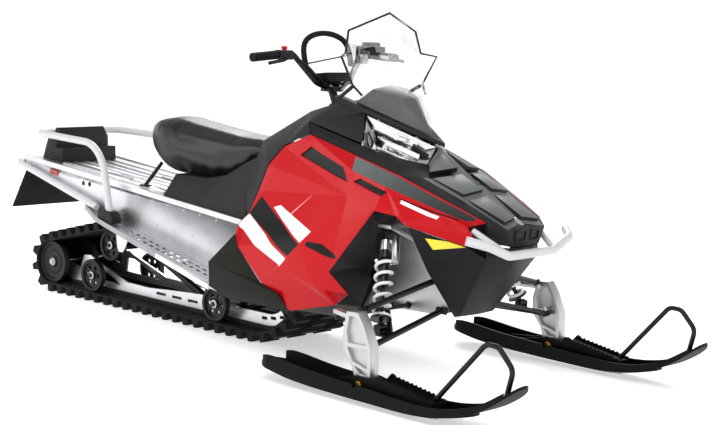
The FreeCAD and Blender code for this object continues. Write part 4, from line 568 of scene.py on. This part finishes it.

# The panel's bands of film, and one painted highlight along a crease, in side view, in the order in
# which they are laid.
# Each outline is convex, so a band with a bend in it is two or three of them.
DECALS = (
    ("black_film", [(89, 531), (128, 600), (273, 537), (270, 471)]),
    ("black_film", [(270, 471), (273, 537), (436, 465), (383, 413)]),
    ("white_film", [(92, 531), (243, 472), (375, 402), (346, 372), (212, 426), (59, 489)]),
    ("white_film", [(223, 571), (258, 583), (480, 517), (439, 472), (303, 531)]),
    ("black_film", [(469, 481), (536, 479), (605, 443), (598, 432), (556, 439), (463, 465)]),
    # A painted highlight along a crease, not film.
    ("painted_crease_highlight", [(414, 641), (408, 633), (337, 558), (331, 562)]),
    ("grey_film", [(548, 790), (760, 739), (760, 706), (578, 745)]),
    ("grey_film", [(760, 739), (950, 664), (950, 644), (760, 706)]),
    ("grey_film", [(950, 664), (1062, 622), (1062, 614), (1040, 613), (950, 644)]),
    ("black_film", [(816, 672), (1020, 616), (1015, 611), (816, 668)]),
    ("white_film", [(823, 667), (957, 622), (950, 611), (822, 655)]),
)

# The dished head of a fastener, as radius and height.
FASTENER_HEAD = [(0, 1), (6, 1), (8, 2.4), (11, 2.4), (13, 0), (13, -3)]

# Its place on the left panel, and the way that it faces there.
FASTENER_PLACE = (971, 238, 600)
FASTENER_AXIS = (0.35, 1, 0.1)


def side_panel(name, side):
    """A gloss red panel with its decal bands and a painted crease highlight laid into the surface.
    """
    mesh = node_mesh("side_panel_" + name)
    soften(mesh, bpy.context.scene.snowmobile_sizes.panel_edge / MM, angle=7, segments=3)
    mesh.normal_update()
    for film, outline in DECALS:
        cut_out(mesh, outline, PANEL_FINISHES.index(film), side)
    piece("side_panel_shell_" + name, mesh, PANEL_FINISHES, "chassis", ("side_panel_" + name,))


def panel_fasteners():
    """A quarter-turn fastener with a dished head at the front of each side panel."""
    heads = bmesh.new()
    for _, side in SIDES:
        place, axis = [(x, side * y, z) for x, y, z in (FASTENER_PLACE, FASTENER_AXIS)]
        join(heads, spun(FASTENER_HEAD, place, axis, steps=28))
    piece("panel_fasteners", heads, ["red_abs"], "chassis")


class SNOWMOBILE_OT_side_panels(bpy.types.Operator):
    """Build the red side panels with their decals and fasteners"""
    bl_idname = "snowmobile.side_panels"
    bl_label = "Side Panels"

    def execute(self, context):
        for name, side in SIDES:
            side_panel(name, side)
        panel_fasteners()
        dress("black_pp", "vent_screens")
        return {"FINISHED"}


# Nose, hood and pans

# The yellow reflector's corners in side view.
REFLECTOR = [(918, 542), (1106, 533), (938, 503)]

# The tops of the right-hand louvres, seen from above.
LOUVRES = ([(765, -16), (766, -84), (812, -138), (847, -26)],
           [(871, -28), (839, -148), (960, -125), (964, -23)],
           [(987, -23), (983, -121), (1125, -96), (1106, -18)])

# How much a face's normal points up where it is a louvre's top, which is painted grey as a painted
# sheen.
LOUVRE_LEVEL = 0.45

# The nose cap's section, its stretch to an oval, its lean in degrees and its middle.
CAP_PROFILE = [(0, 5), (9, 4.4), (15, 2.6), (19, 0), (19, -4)]
CAP_OVAL = (1.35, 0.8, 1)
CAP_LEAN = 31
CAP_PLACE = Vector((1116, 0, 608))

# The corners of the right-hand duct's mouth.
DUCT_CORNERS = [(1163, -14, 585), (1158, -68, 580), (1153, -66, 548), (1158, -16, 547)]


def belly_pan():
    """The dark pan under the nose, with a yellow reflector let into each side."""
    mesh = node_mesh("belly_pan")
    soften(mesh, width_mm=2.0, angle=6)
    mesh.normal_update()
    for _, side in SIDES:
        cut_out(mesh, REFLECTOR, 1, side)
    piece("belly_pan_shell", mesh, ["pan_pp", "amber"], "chassis", ("belly_pan",))


def hood():
    """The black hood, with the up-facing tops of its louvres painted grey as a painted sheen."""
    mesh = node_mesh("hood")
    mesh.normal_update()
    for face in mesh.faces:
        spot = face.calc_center_median() / MM
        on_louvre = any(inside((spot.x, -abs(spot.y)), corners) for corners in LOUVRES)
        # Only up-facing louvre faces take the grey: a painted sheen.
        if face.normal.z > LOUVRE_LEVEL and on_louvre:
            face.material_index = 1
    soften(mesh, width_mm=2.0, angle=9)
    piece("hood_shell", mesh, ["black_pp", "louvre_top_sheen"], "chassis", ("hood",))


def nose_trim():
    """A bright oval cap at the front of the hood's ridge, and frames round the two ducts."""
    cap = spun(CAP_PROFILE, (0, 0, 0), (0, 0, 1), steps=32)
    bmesh.ops.scale(cap, vec=CAP_OVAL, verts=cap.verts)
    lean = Matrix.Rotation(math.radians(CAP_LEAN), 3, "Y")
    bmesh.ops.rotate(cap, cent=(0, 0, 0), matrix=lean, verts=cap.verts)
    bmesh.ops.translate(cap, vec=CAP_PLACE * MM, verts=cap.verts)
    piece("nose_cap", cap, ["chrome"], "chassis")
    frames = bmesh.new()
    for start, end in zip(DUCT_CORNERS, DUCT_CORNERS[1:] + DUCT_CORNERS[:1]):
        join(frames, beam(start, end, width=9, height=6, bevel_mm=1.5))
    piece("nose_duct_frames", both_sides(frames), ["pan_pp"], "chassis")


class SNOWMOBILE_OT_nose(bpy.types.Operator):
    """Build the hood, the pans and the bumper"""
    bl_idname = "snowmobile.nose"
    bl_label = "Nose"

    def execute(self, context):
        hood()
        belly_pan()
        softened("belly_tub", "black_pp", "chassis", width_mm=1.5, angle=6)
        dress("silver_steel", "front_bumper")
        nose_trim()
        return {"FINISHED"}


# The windshield's edge, from the right clip over the top to the left one.
SCREEN_EDGE = [(508, -178, 1006), (475, -197, 1043), (480, -268, 1147), (447, -211, 1158),
               (435, -188, 1239), (465, 0, 1307), (435, 188, 1239), (447, 211, 1158),
               (480, 268, 1147), (475, 197, 1043), (508, 178, 1006)]


class SNOWMOBILE_OT_cockpit(bpy.types.Operator):
    """Build the console, footwells, cowl and windshield"""
    bl_idname = "snowmobile.cockpit"
    bl_label = "Cockpit"

    def execute(self, context):
        edge = tube_mesh(SCREEN_EDGE, context.scene.snowmobile_sizes.screen_edge / MM)
        softened("console", "black_pp", "chassis", width_mm=2.0, angle=8)
        for name, _ in SIDES:
            softened("footwell_" + name, "olive_pp", "chassis", width_mm=2.0, angle=6)
        softened("brow", "black_pp", "chassis", width_mm=2.0, angle=20)
        softened("gauge_cowl", "smoke_pc", "chassis", width_mm=3.0, angle=4, segments=3, smooth=80)
        softened("windshield", "screen", "chassis", width_mm=0.8, angle=3)
        piece("windshield_edge", edge, ["black_pp"], "chassis")
        return {"FINISHED"}


# The middle of the right-hand lamp's bowl, the way it faces, and its profiles.
BOWL_CENTRE = (602, -92, 820)
BOWL_AXIS = (0.66, -0.5, 0.42)
BOWL_PROFILE = [(5, -26), (16, -22), (30, -10), (40, 6), (43, 6), (44, 2), (33, -14), (17, -27),
                (5, -30)]
SHIELD_PROFILE = [(0, 2), (6, 0), (9, -8), (9, -24)]

# The wings and ribs round the bowl: start, end, width, height and place among the finishes.
LAMP_BARS = (
    ((545, -130, 845), (705, -75, 790), 5, 34, 0),
    ((560, -150, 818), (690, -105, 772), 5, 20, 0),
    ((515, -120, 885), (640, -75, 850), 5, 14, 0),
    ((660, -60, 830), (725, -50, 795), 8, 26, 1),
    ((512, -148, 862), (560, -168, 826), 6, 40, 1),
    ((575, -168, 806), (650, -140, 782), 6, 26, 1),
    ((540, -118, 868), (650, -78, 832), 4, 9, 1),
)


def lamp_parts():
    """A chrome bowl, its bulb shield, bright wings and dark ribs behind each headlight lens."""
    parts = bmesh.new()
    join(parts, spun(BOWL_PROFILE, BOWL_CENTRE, BOWL_AXIS, steps=36), 0)
    join(parts, spun(SHIELD_PROFILE, BOWL_CENTRE, BOWL_AXIS, steps=20), 1)
    for start, end, width, height, index in LAMP_BARS:
        join(parts, beam(start, end, width, height), index)
    piece("lamp_parts", both_sides(parts), ["chrome", "lamp_dark"], "chassis")


class SNOWMOBILE_OT_headlights(bpy.types.Operator):
    """Build the headlights"""
    bl_idname = "snowmobile.headlights"
    bl_label = "Headlights"

    def execute(self, context):
        softened("headlight_lenses", "lens", "chassis", width_mm=0.8, angle=4)
        softened("headlight_reflectors", "chrome", "chassis", width_mm=1.5, angle=4)
        lamp_parts()
        return {"FINISHED"}


class SNOWMOBILE_OT_seat(bpy.types.Operator):
    """Build the padded seat on its base"""
    bl_idname = "snowmobile.seat"
    bl_label = "Seat"

    def execute(self, context):
        mesh = swollen(node_mesh("seat"), voxel_mm=6, shrink_mm=7, cap_mm=12, rounds=14)
        cushion = piece("seat_cushion", mesh, ["vinyl"], "chassis", ("seat",), smooth=180)
        smooth = cushion.modifiers.new("Rounded foam", "SUBSURF")
        smooth.levels = 1
        smooth.render_levels = 1
        softened("seat_base", "black_pp", "chassis", width_mm=4.0, angle=6, segments=3)
        dress("black_steel", "seat_strut")
        return {"FINISHED"}


# The deck's front end and its rise for each millimetre towards the rear.
DECK_FRONT = (-77, 473)
DECK_RISE = 0.083

# Half the tunnel's width, and the width of a board's outer strip that is painted bright as a
# painted highlight, in mm.
TUNNEL_SIDE = 210
BOARD_STRIP = 27

# How far from the tunnel's side and from the deck's height its upper edges' points may lie, and
# the shortest edge that is rolled there, in mm.
EDGE_ASIDE = 0.7
EDGE_OFF_DECK = 4
SHORTEST_EDGE = 20

# Sections of a rivet's head and of a hole's washer, as radius and height.
RIVET = [(0, 2.2), (3, 1.8), (4.6, 0)]
WASHER = [(4.3, 0), (4.3, 1.2), (9, 1.2), (10, 0)]

# Each row of rivets: how many, the rearmost one's place, their pitch, their depth under the deck.
RIVET_ROWS = ((13, -1390, 98, 27), (8, -900, 110, 118))

# The accessory holes in the tunnel's side, as distance forward and height.
HOLES = ((-1058, 512), (-1016, 512))


def deck_height(x):
    """The deck's height in mm at a distance forward: it rises towards the rear."""
    return DECK_FRONT[1] + DECK_RISE * (DECK_FRONT[0] - x)


def on_upper_edge(vert):
    """Whether a point of the tunnel lies on one of its two long upper edges."""
    x, y, z = vert.co / MM
    return abs(abs(y) - TUNNEL_SIDE) < EDGE_ASIDE and abs(z - deck_height(x)) < EDGE_OFF_DECK


def tunnel():
    """The tunnel of folded sheet, with its rolled upper edges painted near white as a painted
    highlight.
    """
    mesh = node_mesh("tunnel")
    edges = [edge for edge in mesh.edges if edge.calc_length() > SHORTEST_EDGE * MM
             and all(on_upper_edge(vert) for vert in edge.verts)]
    width_mm = bpy.context.scene.snowmobile_sizes.tunnel_edge / MM
    # The rolled upper edges are painted near white: a painted highlight.
    for face in rolled(mesh, edges, width_mm, segments=4):
        face.material_index = 1
    piece("tunnel_shell", mesh, ["sheet", "painted_edge_highlight"], "chassis", ("tunnel",))


def running_board(name):
    """A board's dull grip strip, with its rolled outer edge painted bright as a painted highlight.
    """
    mesh = node_mesh("running_board_" + name)
    low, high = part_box("running_board_" + name)
    strip = max(abs(low[1]), abs(high[1])) - BOARD_STRIP * MM
    for _, side in SIDES:
        bmesh.ops.bisect_plane(mesh, geom=mesh.verts[:] + mesh.edges[:] + mesh.faces[:],
                               dist=SAME_PLACE, plane_co=(0, side * strip, 0), plane_no=(0, 1, 0))
    # The outer strip is painted bright: a painted highlight on the rolled edge.
    for face in mesh.faces:
        if abs(face.calc_center_median().y) > strip:
            face.material_index = 1
    piece("running_board_shell_" + name, mesh, ["board_sheet", "painted_edge_highlight"], "chassis",
          ("running_board_" + name,))


def rivets():
    """Rows of rivets along the tunnel's sides, and a washer round each accessory hole."""
    heads = bmesh.new()
    for count, rear, pitch, depth in RIVET_ROWS:
        for step in range(count):
            x = rear + pitch * step
            place = (x, -TUNNEL_SIDE, deck_height(x) - depth)
            join(heads, spun(RIVET, place, (0, -1, 0), steps=12), 0)
    for x, z in HOLES:
        join(heads, spun(WASHER, (x, -TUNNEL_SIDE, z), (0, -1, 0), steps=24), 1)
    piece("rivets", both_sides(heads), ["zinc", "rubber"], "chassis")


class SNOWMOBILE_OT_chassis(bpy.types.Operator):
    """Dress the tunnel, boards, rails and rear fittings"""
    bl_idname = "snowmobile.chassis"
    bl_label = "Tunnel and Rear"

    def execute(self, context):
        tunnel()
        for name, _ in SIDES:
            running_board(name)
        rivets()
        dress("sheet", "slide_rails", "drop_brackets", "bulkhead")
        dress("silver_steel", "rear_bumper", "cargo_rail")
        softened("rail_feet", "black_pp", "chassis", width_mm=3.0, angle=20)
        dress("rubber", "snow_flap")
        softened("tail_light_housing", "black_pp", "chassis", width_mm=4.0, angle=10, segments=3)
        dress("red_lens", "red_lamps")
        dress("grey_cast", "engine")
        return {"FINISHED"}


# The rear axle: its place in side view, its section, and how far out its discs and hubs stand.
IDLER_PLACE = (-1306, 132)
REAR_AXLE = [(0, -184), (11, -184), (11, 184), (0, 184)]
DISC_ROWS = (-164, 0, 164)
IDLER_HUB = 176

# Sections of a ribbed disc and of a wheel's hub, as radius and distance along the axle.
IDLER_DISC = [(18, -12), (24, -12), (26, -6), (44, -6), (47, -9), (52, -9), (55, -5), (74, -5),
              (77, -12), (90.5, -12), (90.5, 12), (77, 12), (74, 5), (55, 5), (52, 9), (47, 9),
              (44, 6), (26, 6), (24, 12), (18, 12), (18, -12)]
WHEEL_HUB = [(0, 5), (5, 5), (6, 3), (13, 3), (17, 1), (18, -2), (0, -2)]

# The outer ends of the right-hand wheels beside the rail and of the carrier's wheel.
HUB_PLACES = ((-1030, -178, 111.3), (-245, -178, 111.3), (-955, -141, 250))


def rear_idlers():
    """Three ribbed discs on the rear axle, with turned hubs."""
    x, z = IDLER_PLACE
    wheels = bmesh.new()
    for y in DISC_ROWS:
        join(wheels, spun(IDLER_DISC, (x, y, z), (0, 1, 0), steps=48), 0)
    join(wheels, spun(REAR_AXLE, (x, 0, z), (0, 1, 0), steps=24), 1)
    for _, side in SIDES:
        join(wheels, spun(WHEEL_HUB, (x, side * IDLER_HUB, z), (0, side, 0), steps=28), 1)
    piece("rear_idler_wheels", wheels, ["black_pp", "zinc"], "chassis", ("rear_idlers",))


def wheel_hubs():
    """Turned hubs on the wheels beside the rails and on the carrier wheels."""
    hubs = bmesh.new()
    for place in HUB_PLACES:
        join(hubs, spun(WHEEL_HUB, place, (0, -1, 0), steps=28))
    piece("wheel_hubs", both_sides(hubs), ["zinc"], "chassis")


class SNOWMOBILE_OT_track(bpy.types.Operator):
    """Dress the track and its wheels"""
    bl_idname = "snowmobile.track"
    bl_label = "Track and Wheels"

    def execute(self, context):
        dress("track", "track")
        rear_idlers()
        wheel_hubs()
        dress("black_pp", "rail_wheels", "carrier_wheels", "slide_runners")
        dress("black_steel", "torque_arms")
        dress("zinc", "rear_shock", "drive_axle")
        return {"FINISHED"}


# The right shock absorber's two ends, and where its reservoir stands beside it.
SHOCK_TOP = Vector((728, -258, 540))
SHOCK_FOOT = Vector((850, -404, 232))
SHOCK_RUN = SHOCK_FOOT - SHOCK_TOP
SHOCK_WAY = SHOCK_RUN.normalized()
RESERVOIR_SHIFT = Vector((38, 12, 6))

# Where the spring starts, as a share of the shock and so many mm more, and how far above the
# shock's foot it ends.
SPRING_START = (0.27, 16)
SPRING_END = 40

# The share of the wire that the flat turns take at each end, the share of the height that it
# rises evenly all along, and the points in a turn.
FLAT_SHARE = 0.08
EVEN_RISE = 0.03
TURN_STEPS = 20

# Sections of the trim along the shock, as radius and distance from its top.
SLEEVE = [(19.2, 38), (21.5, 39), (21.5, 76), (19.2, 77)]
COLLAR = [(19.2, 84), (23, 85), (23, 100), (19.2, 101)]
RESERVOIR = [(0, 20), (13, 22), (15, 26), (15, 118), (12, 124), (0, 124)]

# How far down the shock the reservoir's neck is.
NECK_DOWN = 40


def front_springs():
    """Open coils of white wire, wound round the shock absorbers."""
    sizes = bpy.context.scene.snowmobile_sizes
    across = SHOCK_WAY.orthogonal().normalized()
    beside = SHOCK_WAY.cross(across)
    start = SHOCK_TOP + SHOCK_WAY * (SHOCK_RUN.length * SPRING_START[0] + SPRING_START[1])
    run = SHOCK_FOOT - SHOCK_WAY * SPRING_END - start
    steps = sizes.spring_turns * TURN_STEPS
    points = []
    for step in range(steps + 1):
        share = step / steps
        # The end turns lie flatter than the others, as a ground spring's do.
        rise = min(max((share - FLAT_SHARE) / (1 - 2 * FLAT_SHARE), 0), 1)
        angle = math.tau * sizes.spring_turns * share
        outward = (across * math.cos(angle) + beside * math.sin(angle)) * (sizes.spring_radius / MM)
        points.append(start + run * (EVEN_RISE * share + (1 - EVEN_RISE) * rise) + outward)
    coils = tube_mesh(points, sizes.spring_wire / MM, resolution=2)
    piece("front_spring_coils", both_sides(coils), ["white_steel"], "chassis", ("front_springs",))


def shock_trim():
    """The silver sleeve, black collar and reservoir of each front shock absorber."""
    trim = bmesh.new()
    join(trim, spun(SLEEVE, SHOCK_TOP, SHOCK_WAY, steps=28), 0)
    join(trim, spun(COLLAR, SHOCK_TOP, SHOCK_WAY, steps=28), 1)
    join(trim, spun(RESERVOIR, SHOCK_TOP + RESERVOIR_SHIFT, SHOCK_WAY, steps=28), 0)
    neck = SHOCK_TOP + SHOCK_WAY * NECK_DOWN
    join(trim, beam(neck, neck + RESERVOIR_SHIFT, width=18, height=16, bevel_mm=3), 0)
    piece("shock_trim", both_sides(trim), ["zinc", "black_steel"], "chassis")


# The height in mm under which a ski's hardware is its runner.
RUNNER_TOP = 48


def ski_hardware(name):
    """A ski's gold-coloured bolt and the steel runner under it."""
    mesh = node_mesh("ski_hardware_" + name)
    for face in mesh.faces:
        if face.calc_center_median().z < RUNNER_TOP * MM:
            face.material_index = 1
    piece("ski_fittings_" + name, mesh, ["gold_zinc", "zinc"], "ski_assembly_" + name,
          ("ski_hardware_" + name,))


class SNOWMOBILE_OT_front_suspension(bpy.types.Operator):
    """Build the front springs, shocks, arms, spindles and skis"""
    bl_idname = "snowmobile.front_suspension"
    bl_label = "Front Suspension and Skis"

    def execute(self, context):
        dress("black_steel", "a_arms", "front_shocks", "tie_rods")
        front_springs()
        shock_trim()
        for name, _ in SIDES:
            softened("spindle_" + name, "cast", "knuckle_" + name, width_mm=2.0, angle=25)
            dress("ski_pe", "ski_" + name)
            ski_hardware(name)
            dress("black_steel", "ski_loop_" + name)
        return {"FINISHED"}


# The hoop's line over the bar, from its right foot to its left one.
HOOP_LINE = [(164.6, -125, 1093), (152, -131, 1140), (140, -112, 1190), (132, -42, 1216),
             (132, 42, 1216), (140, 112, 1190), (152, 131, 1140), (164.6, 125, 1093)]

# The strap's two ends.
STRAP = ((160, -122, 1100), (154, 125, 1134))

# The switch blocks' bricks: size, centre, bevel, the bevel's segments, place among the finishes.
THROTTLE_BRICKS = (
    ((44, 66, 36), (155, -236, 1134), 6, 3, 0),
)
BRAKE_BRICKS = (
    ((62, 112, 50), (172, 226, 1146), 10, 3, 0),
    ((50, 60, 20), (170, 232, 1176), 6, 3, 0),
    ((26, 22, 30), (178, 286, 1156), 4, 2, 1),
    ((30, 34, 40), (188, 168, 1122), 5, 2, 2),
)

# Their brackets and levers: start, end, width, height, bevel and place among the finishes.
THROTTLE_BARS = (
    ((176, -228, 1124), (184, -262, 1116), 12, 10, 3, 0),
    ((184, -258, 1116), (186, -345, 1104), 7, 13, 2.5, 0),
)
BRAKE_BARS = (
    ((204, 246, 1134), (214, 290, 1126), 12, 12, 3, 2),
    ((214, 286, 1126), (212, 386, 1112), 7, 13, 2.5, 0),
)

# The red button's section and its foot.
BUTTON = [(0, 16), (11, 15), (12, 12), (12, 4), (8, 4), (8, -2)]
BUTTON_PLACE = (152, -232, 1151)

# The head of a clamp's bolt, and the four bolts' places.
BOLT_HEAD = [(0, 7), (5, 7), (6, 5), (6, 0)]
BOLT_PLACES = ((168, -26, 1016), (168, 26, 1016), (204, -26, 1016), (204, 26, 1016))

# The line of a lead along the bar, and the two leads: how far forward of it, and their radius.
LEAD_LINE = [(166, -206, 1130), (178, -150, 1106), (196, -96, 1050), (206, -52, 1022),
             (214, -24, 1002)]
LEADS = ((0, 4), (9, 3))


def grab_hoop():
    """The padded hoop over the bar, with a thin strap across its foot."""
    radius = bpy.context.scene.snowmobile_sizes.hoop_radius / MM
    hoop = tube_mesh(HOOP_LINE, radius, smooth=True, resolution=5)
    join(hoop, beam(*STRAP, width=12, height=4))
    piece("padded_hoop", hoop, ["rubber"], "steering_gear", ("bar_hoop",))


def block(bricks, bars):
    """A switch block of bricks and bars, each in its own finish."""
    mesh = bmesh.new()
    for size, centre, bevel_mm, segments, index in bricks:
        join(mesh, brick(size, centre, bevel_mm, segments), index)
    for start, end, width, height, bevel_mm, index in bars:
        join(mesh, beam(start, end, width, height, bevel_mm), index)
    return mesh


def throttle_side():
    """The right hand's switch box with its red button and thin throttle lever."""
    box = block(THROTTLE_BRICKS, THROTTLE_BARS)
    join(box, spun(BUTTON, BUTTON_PLACE, (0, 0, 1), steps=24), 1)
    piece("throttle_block", box, ["black_pp", "red_button"], "steering_gear")


def brake_side():
    """The left hand's brake cylinder with its bracket and lever."""
    box = block(BRAKE_BRICKS, BRAKE_BARS)
    piece("brake_block", box, ["pan_pp", "red_lens", "zinc"], "steering_gear")


def bar_fittings():
    """The clamp's bolts and the sleeved leads that lie along the bar."""
    parts = bmesh.new()
    for place in BOLT_PLACES:
        join(parts, spun(BOLT_HEAD, place, (0, 0, 1), steps=16), 0)
    for offset, radius in LEADS:
        for side, index in ((1, 1), (-1, 2)):
            line = [(x + offset, y * side, z) for x, y, z in LEAD_LINE]
            join(parts, tube_mesh(line, radius, smooth=True), index)
    piece("bar_fittings", parts, ["zinc", "black_pp", "silver_steel"], "steering_gear")


class SNOWMOBILE_OT_steering(bpy.types.Operator):
    """Build the handlebar and its controls"""
    bl_idname = "snowmobile.steering"
    bl_label = "Steering"

    def execute(self, context):
        dress("black_steel", "steering_post", "handlebar")
        dress("rubber", "grips")
        softened("bar_pad", "pan_pp", "steering_gear", width_mm=4.0, angle=10, segments=3)
        grab_hoop()
        throttle_side()
        brake_side()
        bar_fittings()
        return {"FINISHED"}


# Stage

# The floor's section from its middle to its rim, in shares of its reach.
FLOOR_SWEEP = ((0, 0), (0.9, 0), (0.96, 0.01), (0.99, 0.05), (1, 0.12), (1, 0.3))

# Each light: its name, its place, its width and its share of the key light's power.
LIGHTS = (("key_light", (3.0, -3.6, 5.8), 3.0, 1.0),
          ("fill_light", (-3.6, -4.6, 3.4), 3.0, 0.36),
          ("rim_light", (-3.2, 4.4, 4.6), 3.2, 1.5))
LIGHT_TARGET = (0.2, 0, 0.5)


def floor():
    """A pale studio floor that sweeps up at its rim, which isn't part of the machine."""
    stage = bpy.context.scene.snowmobile_stage
    reach = stage.floor_size / 2 / MM
    # It lies 1 mm low, so that it doesn't flicker through what stands on it.
    sweep = [(reach * out, reach * up) for out, up in FLOOR_SWEEP]
    mesh = spun(sweep, (0, 0, -1), (0, 0, 1), steps=64)
    data = bpy.data.meshes.new("studio_floor")
    mesh.to_mesh(data)
    mesh.free()
    # A paper sweep lit from behind: it glows a little, so that it stays white round the machine.
    paper = surface("Studio floor", stage.floor_colour, roughness=0.7,
                    Emission_Color=(1, 1, 1, 1), Emission_Strength=stage.floor_glow)
    data.materials.append(paper.material)
    data.shade_smooth()
    thing = bpy.data.objects.new("studio_floor", data)
    bpy.context.scene.collection.objects.link(thing)


def lamp(name, place, size, power):
    """A soft square light that looks at the machine."""
    data = bpy.data.lights.new(name, "AREA")
    data.shape = "SQUARE"
    data.size = size
    data.energy = power
    thing = bpy.data.objects.new(name, data)
    turn = (Vector(LIGHT_TARGET) - Vector(place)).to_track_quat("-Z", "Y").to_matrix()
    thing.matrix_world = Matrix.Translation(place) @ turn.to_4x4()
    bpy.context.scene.collection.objects.link(thing)


def camera():
    """The camera at the photograph's place, with its slight roll."""
    stage = bpy.context.scene.snowmobile_stage
    azimuth, elevation, roll = stage.azimuth, stage.elevation, stage.roll
    back = Vector((math.sin(azimuth) * math.cos(elevation),
                   -math.cos(azimuth) * math.cos(elevation), math.sin(elevation)))
    right = (-back).cross(Vector((0, 0, 1))).normalized()
    up = right.cross(-back)
    turned_right = right * math.cos(roll) + up * math.sin(roll)
    turned_up = up * math.cos(roll) - right * math.sin(roll)
    data = bpy.data.cameras.new("photo_camera")
    data.lens = stage.lens
    data.sensor_width = 36
    data.clip_end = 100
    thing = bpy.data.objects.new("photo_camera", data)
    frame_of_view = Matrix((turned_right, turned_up, back)).transposed().to_4x4()
    frame_of_view.translation = stage.camera_place
    thing.matrix_world = frame_of_view
    bpy.context.scene.collection.objects.link(thing)
    bpy.context.scene.camera = thing


class SNOWMOBILE_OT_stage(bpy.types.Operator):
    """Set up the studio: floor, lights and the camera"""
    bl_idname = "snowmobile.stage"
    bl_label = "Studio"

    def execute(self, context):
        floor()
        camera()
        stage = context.scene.snowmobile_stage
        for name, place, size, share in LIGHTS:
            lamp(name, place, size, stage.light_power * share)
        world = bpy.data.worlds.new("studio_world")
        world.use_nodes = True
        sky = world.node_tree.nodes["Background"]
        sky.inputs["Color"].default_value = (1, 1, 1, 1)
        sky.inputs["Strength"].default_value = stage.sky_light
        context.scene.world = world
        context.scene.view_settings.view_transform = "Standard"
        return {"FINISHED"}


# Settings and panel

def colour_setting(name, words, code):
    """A colour that a user can change."""
    return bpy.props.FloatVectorProperty(name=name, description=words, default=linear(code),
                                         subtype="COLOR", min=0, max=1)


def size_setting(name, words, size_mm):
    """A length in millimetres that a user can change."""
    return bpy.props.FloatProperty(name=name, description=words, default=size_mm * MM,
                                   min=0.5 * MM, precision=4, unit="LENGTH")


class SnowmobilePaint(bpy.types.PropertyGroup):
    panel_red: colour_setting("Panel Red", "Colour of the side panels", "C00A16")
    stripe_white: colour_setting("Stripe White", "Colour of the pale decals", "F4F4F2")
    stripe_black: colour_setting("Stripe Black", "Colour of the dark decals", "0E0E0F")
    plastic_black: colour_setting("Plastic Black", "Colour of the hood and console", "0E0E0F")
    pan_grey: colour_setting("Pan Grey", "Colour of the pan under the nose", "1D1D1F")
    seat_black: colour_setting("Seat Black", "Colour of the seat cover", "0B0B0D")
    reflector_yellow: colour_setting("Reflector Yellow", "Colour of the front reflectors", "F5E400")


class SnowmobileSizes(bpy.types.PropertyGroup):
    panel_edge: size_setting("Panel Edge", "Rounding of the side panels' edges", 2.5)
    tunnel_edge: size_setting("Tunnel Edge", "Width of the tunnel's rolled upper edges", 8)
    screen_edge: size_setting("Screen Edge", "Radius of the rubber round the windshield", 4.6)
    hoop_radius: size_setting("Hoop Radius", "Radius of the grab hoop's padding", 11)
    spring_radius: size_setting("Spring Radius", "Radius of the front springs' coils", 29.4)
    spring_wire: size_setting("Spring Wire", "Radius of the front springs' wire", 6.1)
    spring_turns: bpy.props.IntProperty(name="Spring Turns", default=6, min=2, max=20,
                                        description="Turns of each front spring")


class SnowmobileStage(bpy.types.PropertyGroup):
    floor_size: bpy.props.FloatProperty(
        name="Floor Size", description="Width of the studio floor", default=60, min=4,
        unit="LENGTH")
    floor_colour: colour_setting("Floor Colour", "Colour of the studio floor", "F5F5F5")
    floor_glow: bpy.props.FloatProperty(
        name="Floor Glow", description="Strength of the light that the floor gives off",
        default=0.5, min=0)
    light_power: bpy.props.FloatProperty(
        name="Light Power", description="Power of the key light", default=175, min=0,
        unit="POWER")
    sky_light: bpy.props.FloatProperty(
        name="Sky Light", description="Strength of the light from all round", default=0.45,
        min=0)
    lens: bpy.props.FloatProperty(
        name="Lens", description="Focal length in millimetres on a 36 mm sensor",
        default=82.61, min=20, max=300)
    azimuth: bpy.props.FloatProperty(
        name="Azimuth", description="Turn of the camera round the machine",
        default=math.radians(42.20), subtype="ANGLE")
    elevation: bpy.props.FloatProperty(
        name="Elevation", description="Tilt of the camera downwards",
        default=math.radians(7.53), subtype="ANGLE")
    roll: bpy.props.FloatProperty(
        name="Roll", description="Roll of the camera", default=math.radians(2.67),
        subtype="ANGLE")
    camera_place: bpy.props.FloatVectorProperty(
        name="Camera Place", description="Where the camera stands",
        default=(4.563, -4.632, 1.373), subtype="TRANSLATION")


class SNOWMOBILE_PT_looks(bpy.types.Panel):
    """Lists the pieces and the settings of the snowmobile"""
    bl_idname = "SNOWMOBILE_PT_looks"
    bl_label = "Snowmobile"
    bl_space_type = "VIEW_3D"
    bl_region_type = "UI"
    bl_category = "Snowmobile"

    def draw(self, context):
        for key, group in GROUPS.items():
            box = self.layout.box()
            for name in group.__annotations__:
                box.prop(getattr(context.scene, key), name)
        for operator in OPERATORS:
            self.layout.operator(operator.bl_idname)


OPERATORS = (
    SNOWMOBILE_OT_stage,
    SNOWMOBILE_OT_side_panels,
    SNOWMOBILE_OT_nose,
    SNOWMOBILE_OT_cockpit,
    SNOWMOBILE_OT_headlights,
    SNOWMOBILE_OT_seat,
    SNOWMOBILE_OT_chassis,
    SNOWMOBILE_OT_track,
    SNOWMOBILE_OT_front_suspension,
    SNOWMOBILE_OT_steering,
)
GROUPS = {
    "snowmobile_paint": SnowmobilePaint,
    "snowmobile_sizes": SnowmobileSizes,
    "snowmobile_stage": SnowmobileStage,
}


def register():
    for key, group in GROUPS.items():
        bpy.utils.register_class(group)
        setattr(bpy.types.Scene, key, bpy.props.PointerProperty(type=group))
    for operator in OPERATORS:
        bpy.utils.register_class(operator)
    bpy.utils.register_class(SNOWMOBILE_PT_looks)


def unregister():
    bpy.utils.unregister_class(SNOWMOBILE_PT_looks)
    for operator in reversed(OPERATORS):
        bpy.utils.unregister_class(operator)
    for key, group in reversed(GROUPS.items()):
        delattr(bpy.types.Scene, key)
        bpy.utils.unregister_class(group)


def main():
    register()
    for operator in OPERATORS:
        group, name = operator.bl_idname.split(".")
        getattr(getattr(bpy.ops, group), name)()


if __name__ == "__main__":
    main()
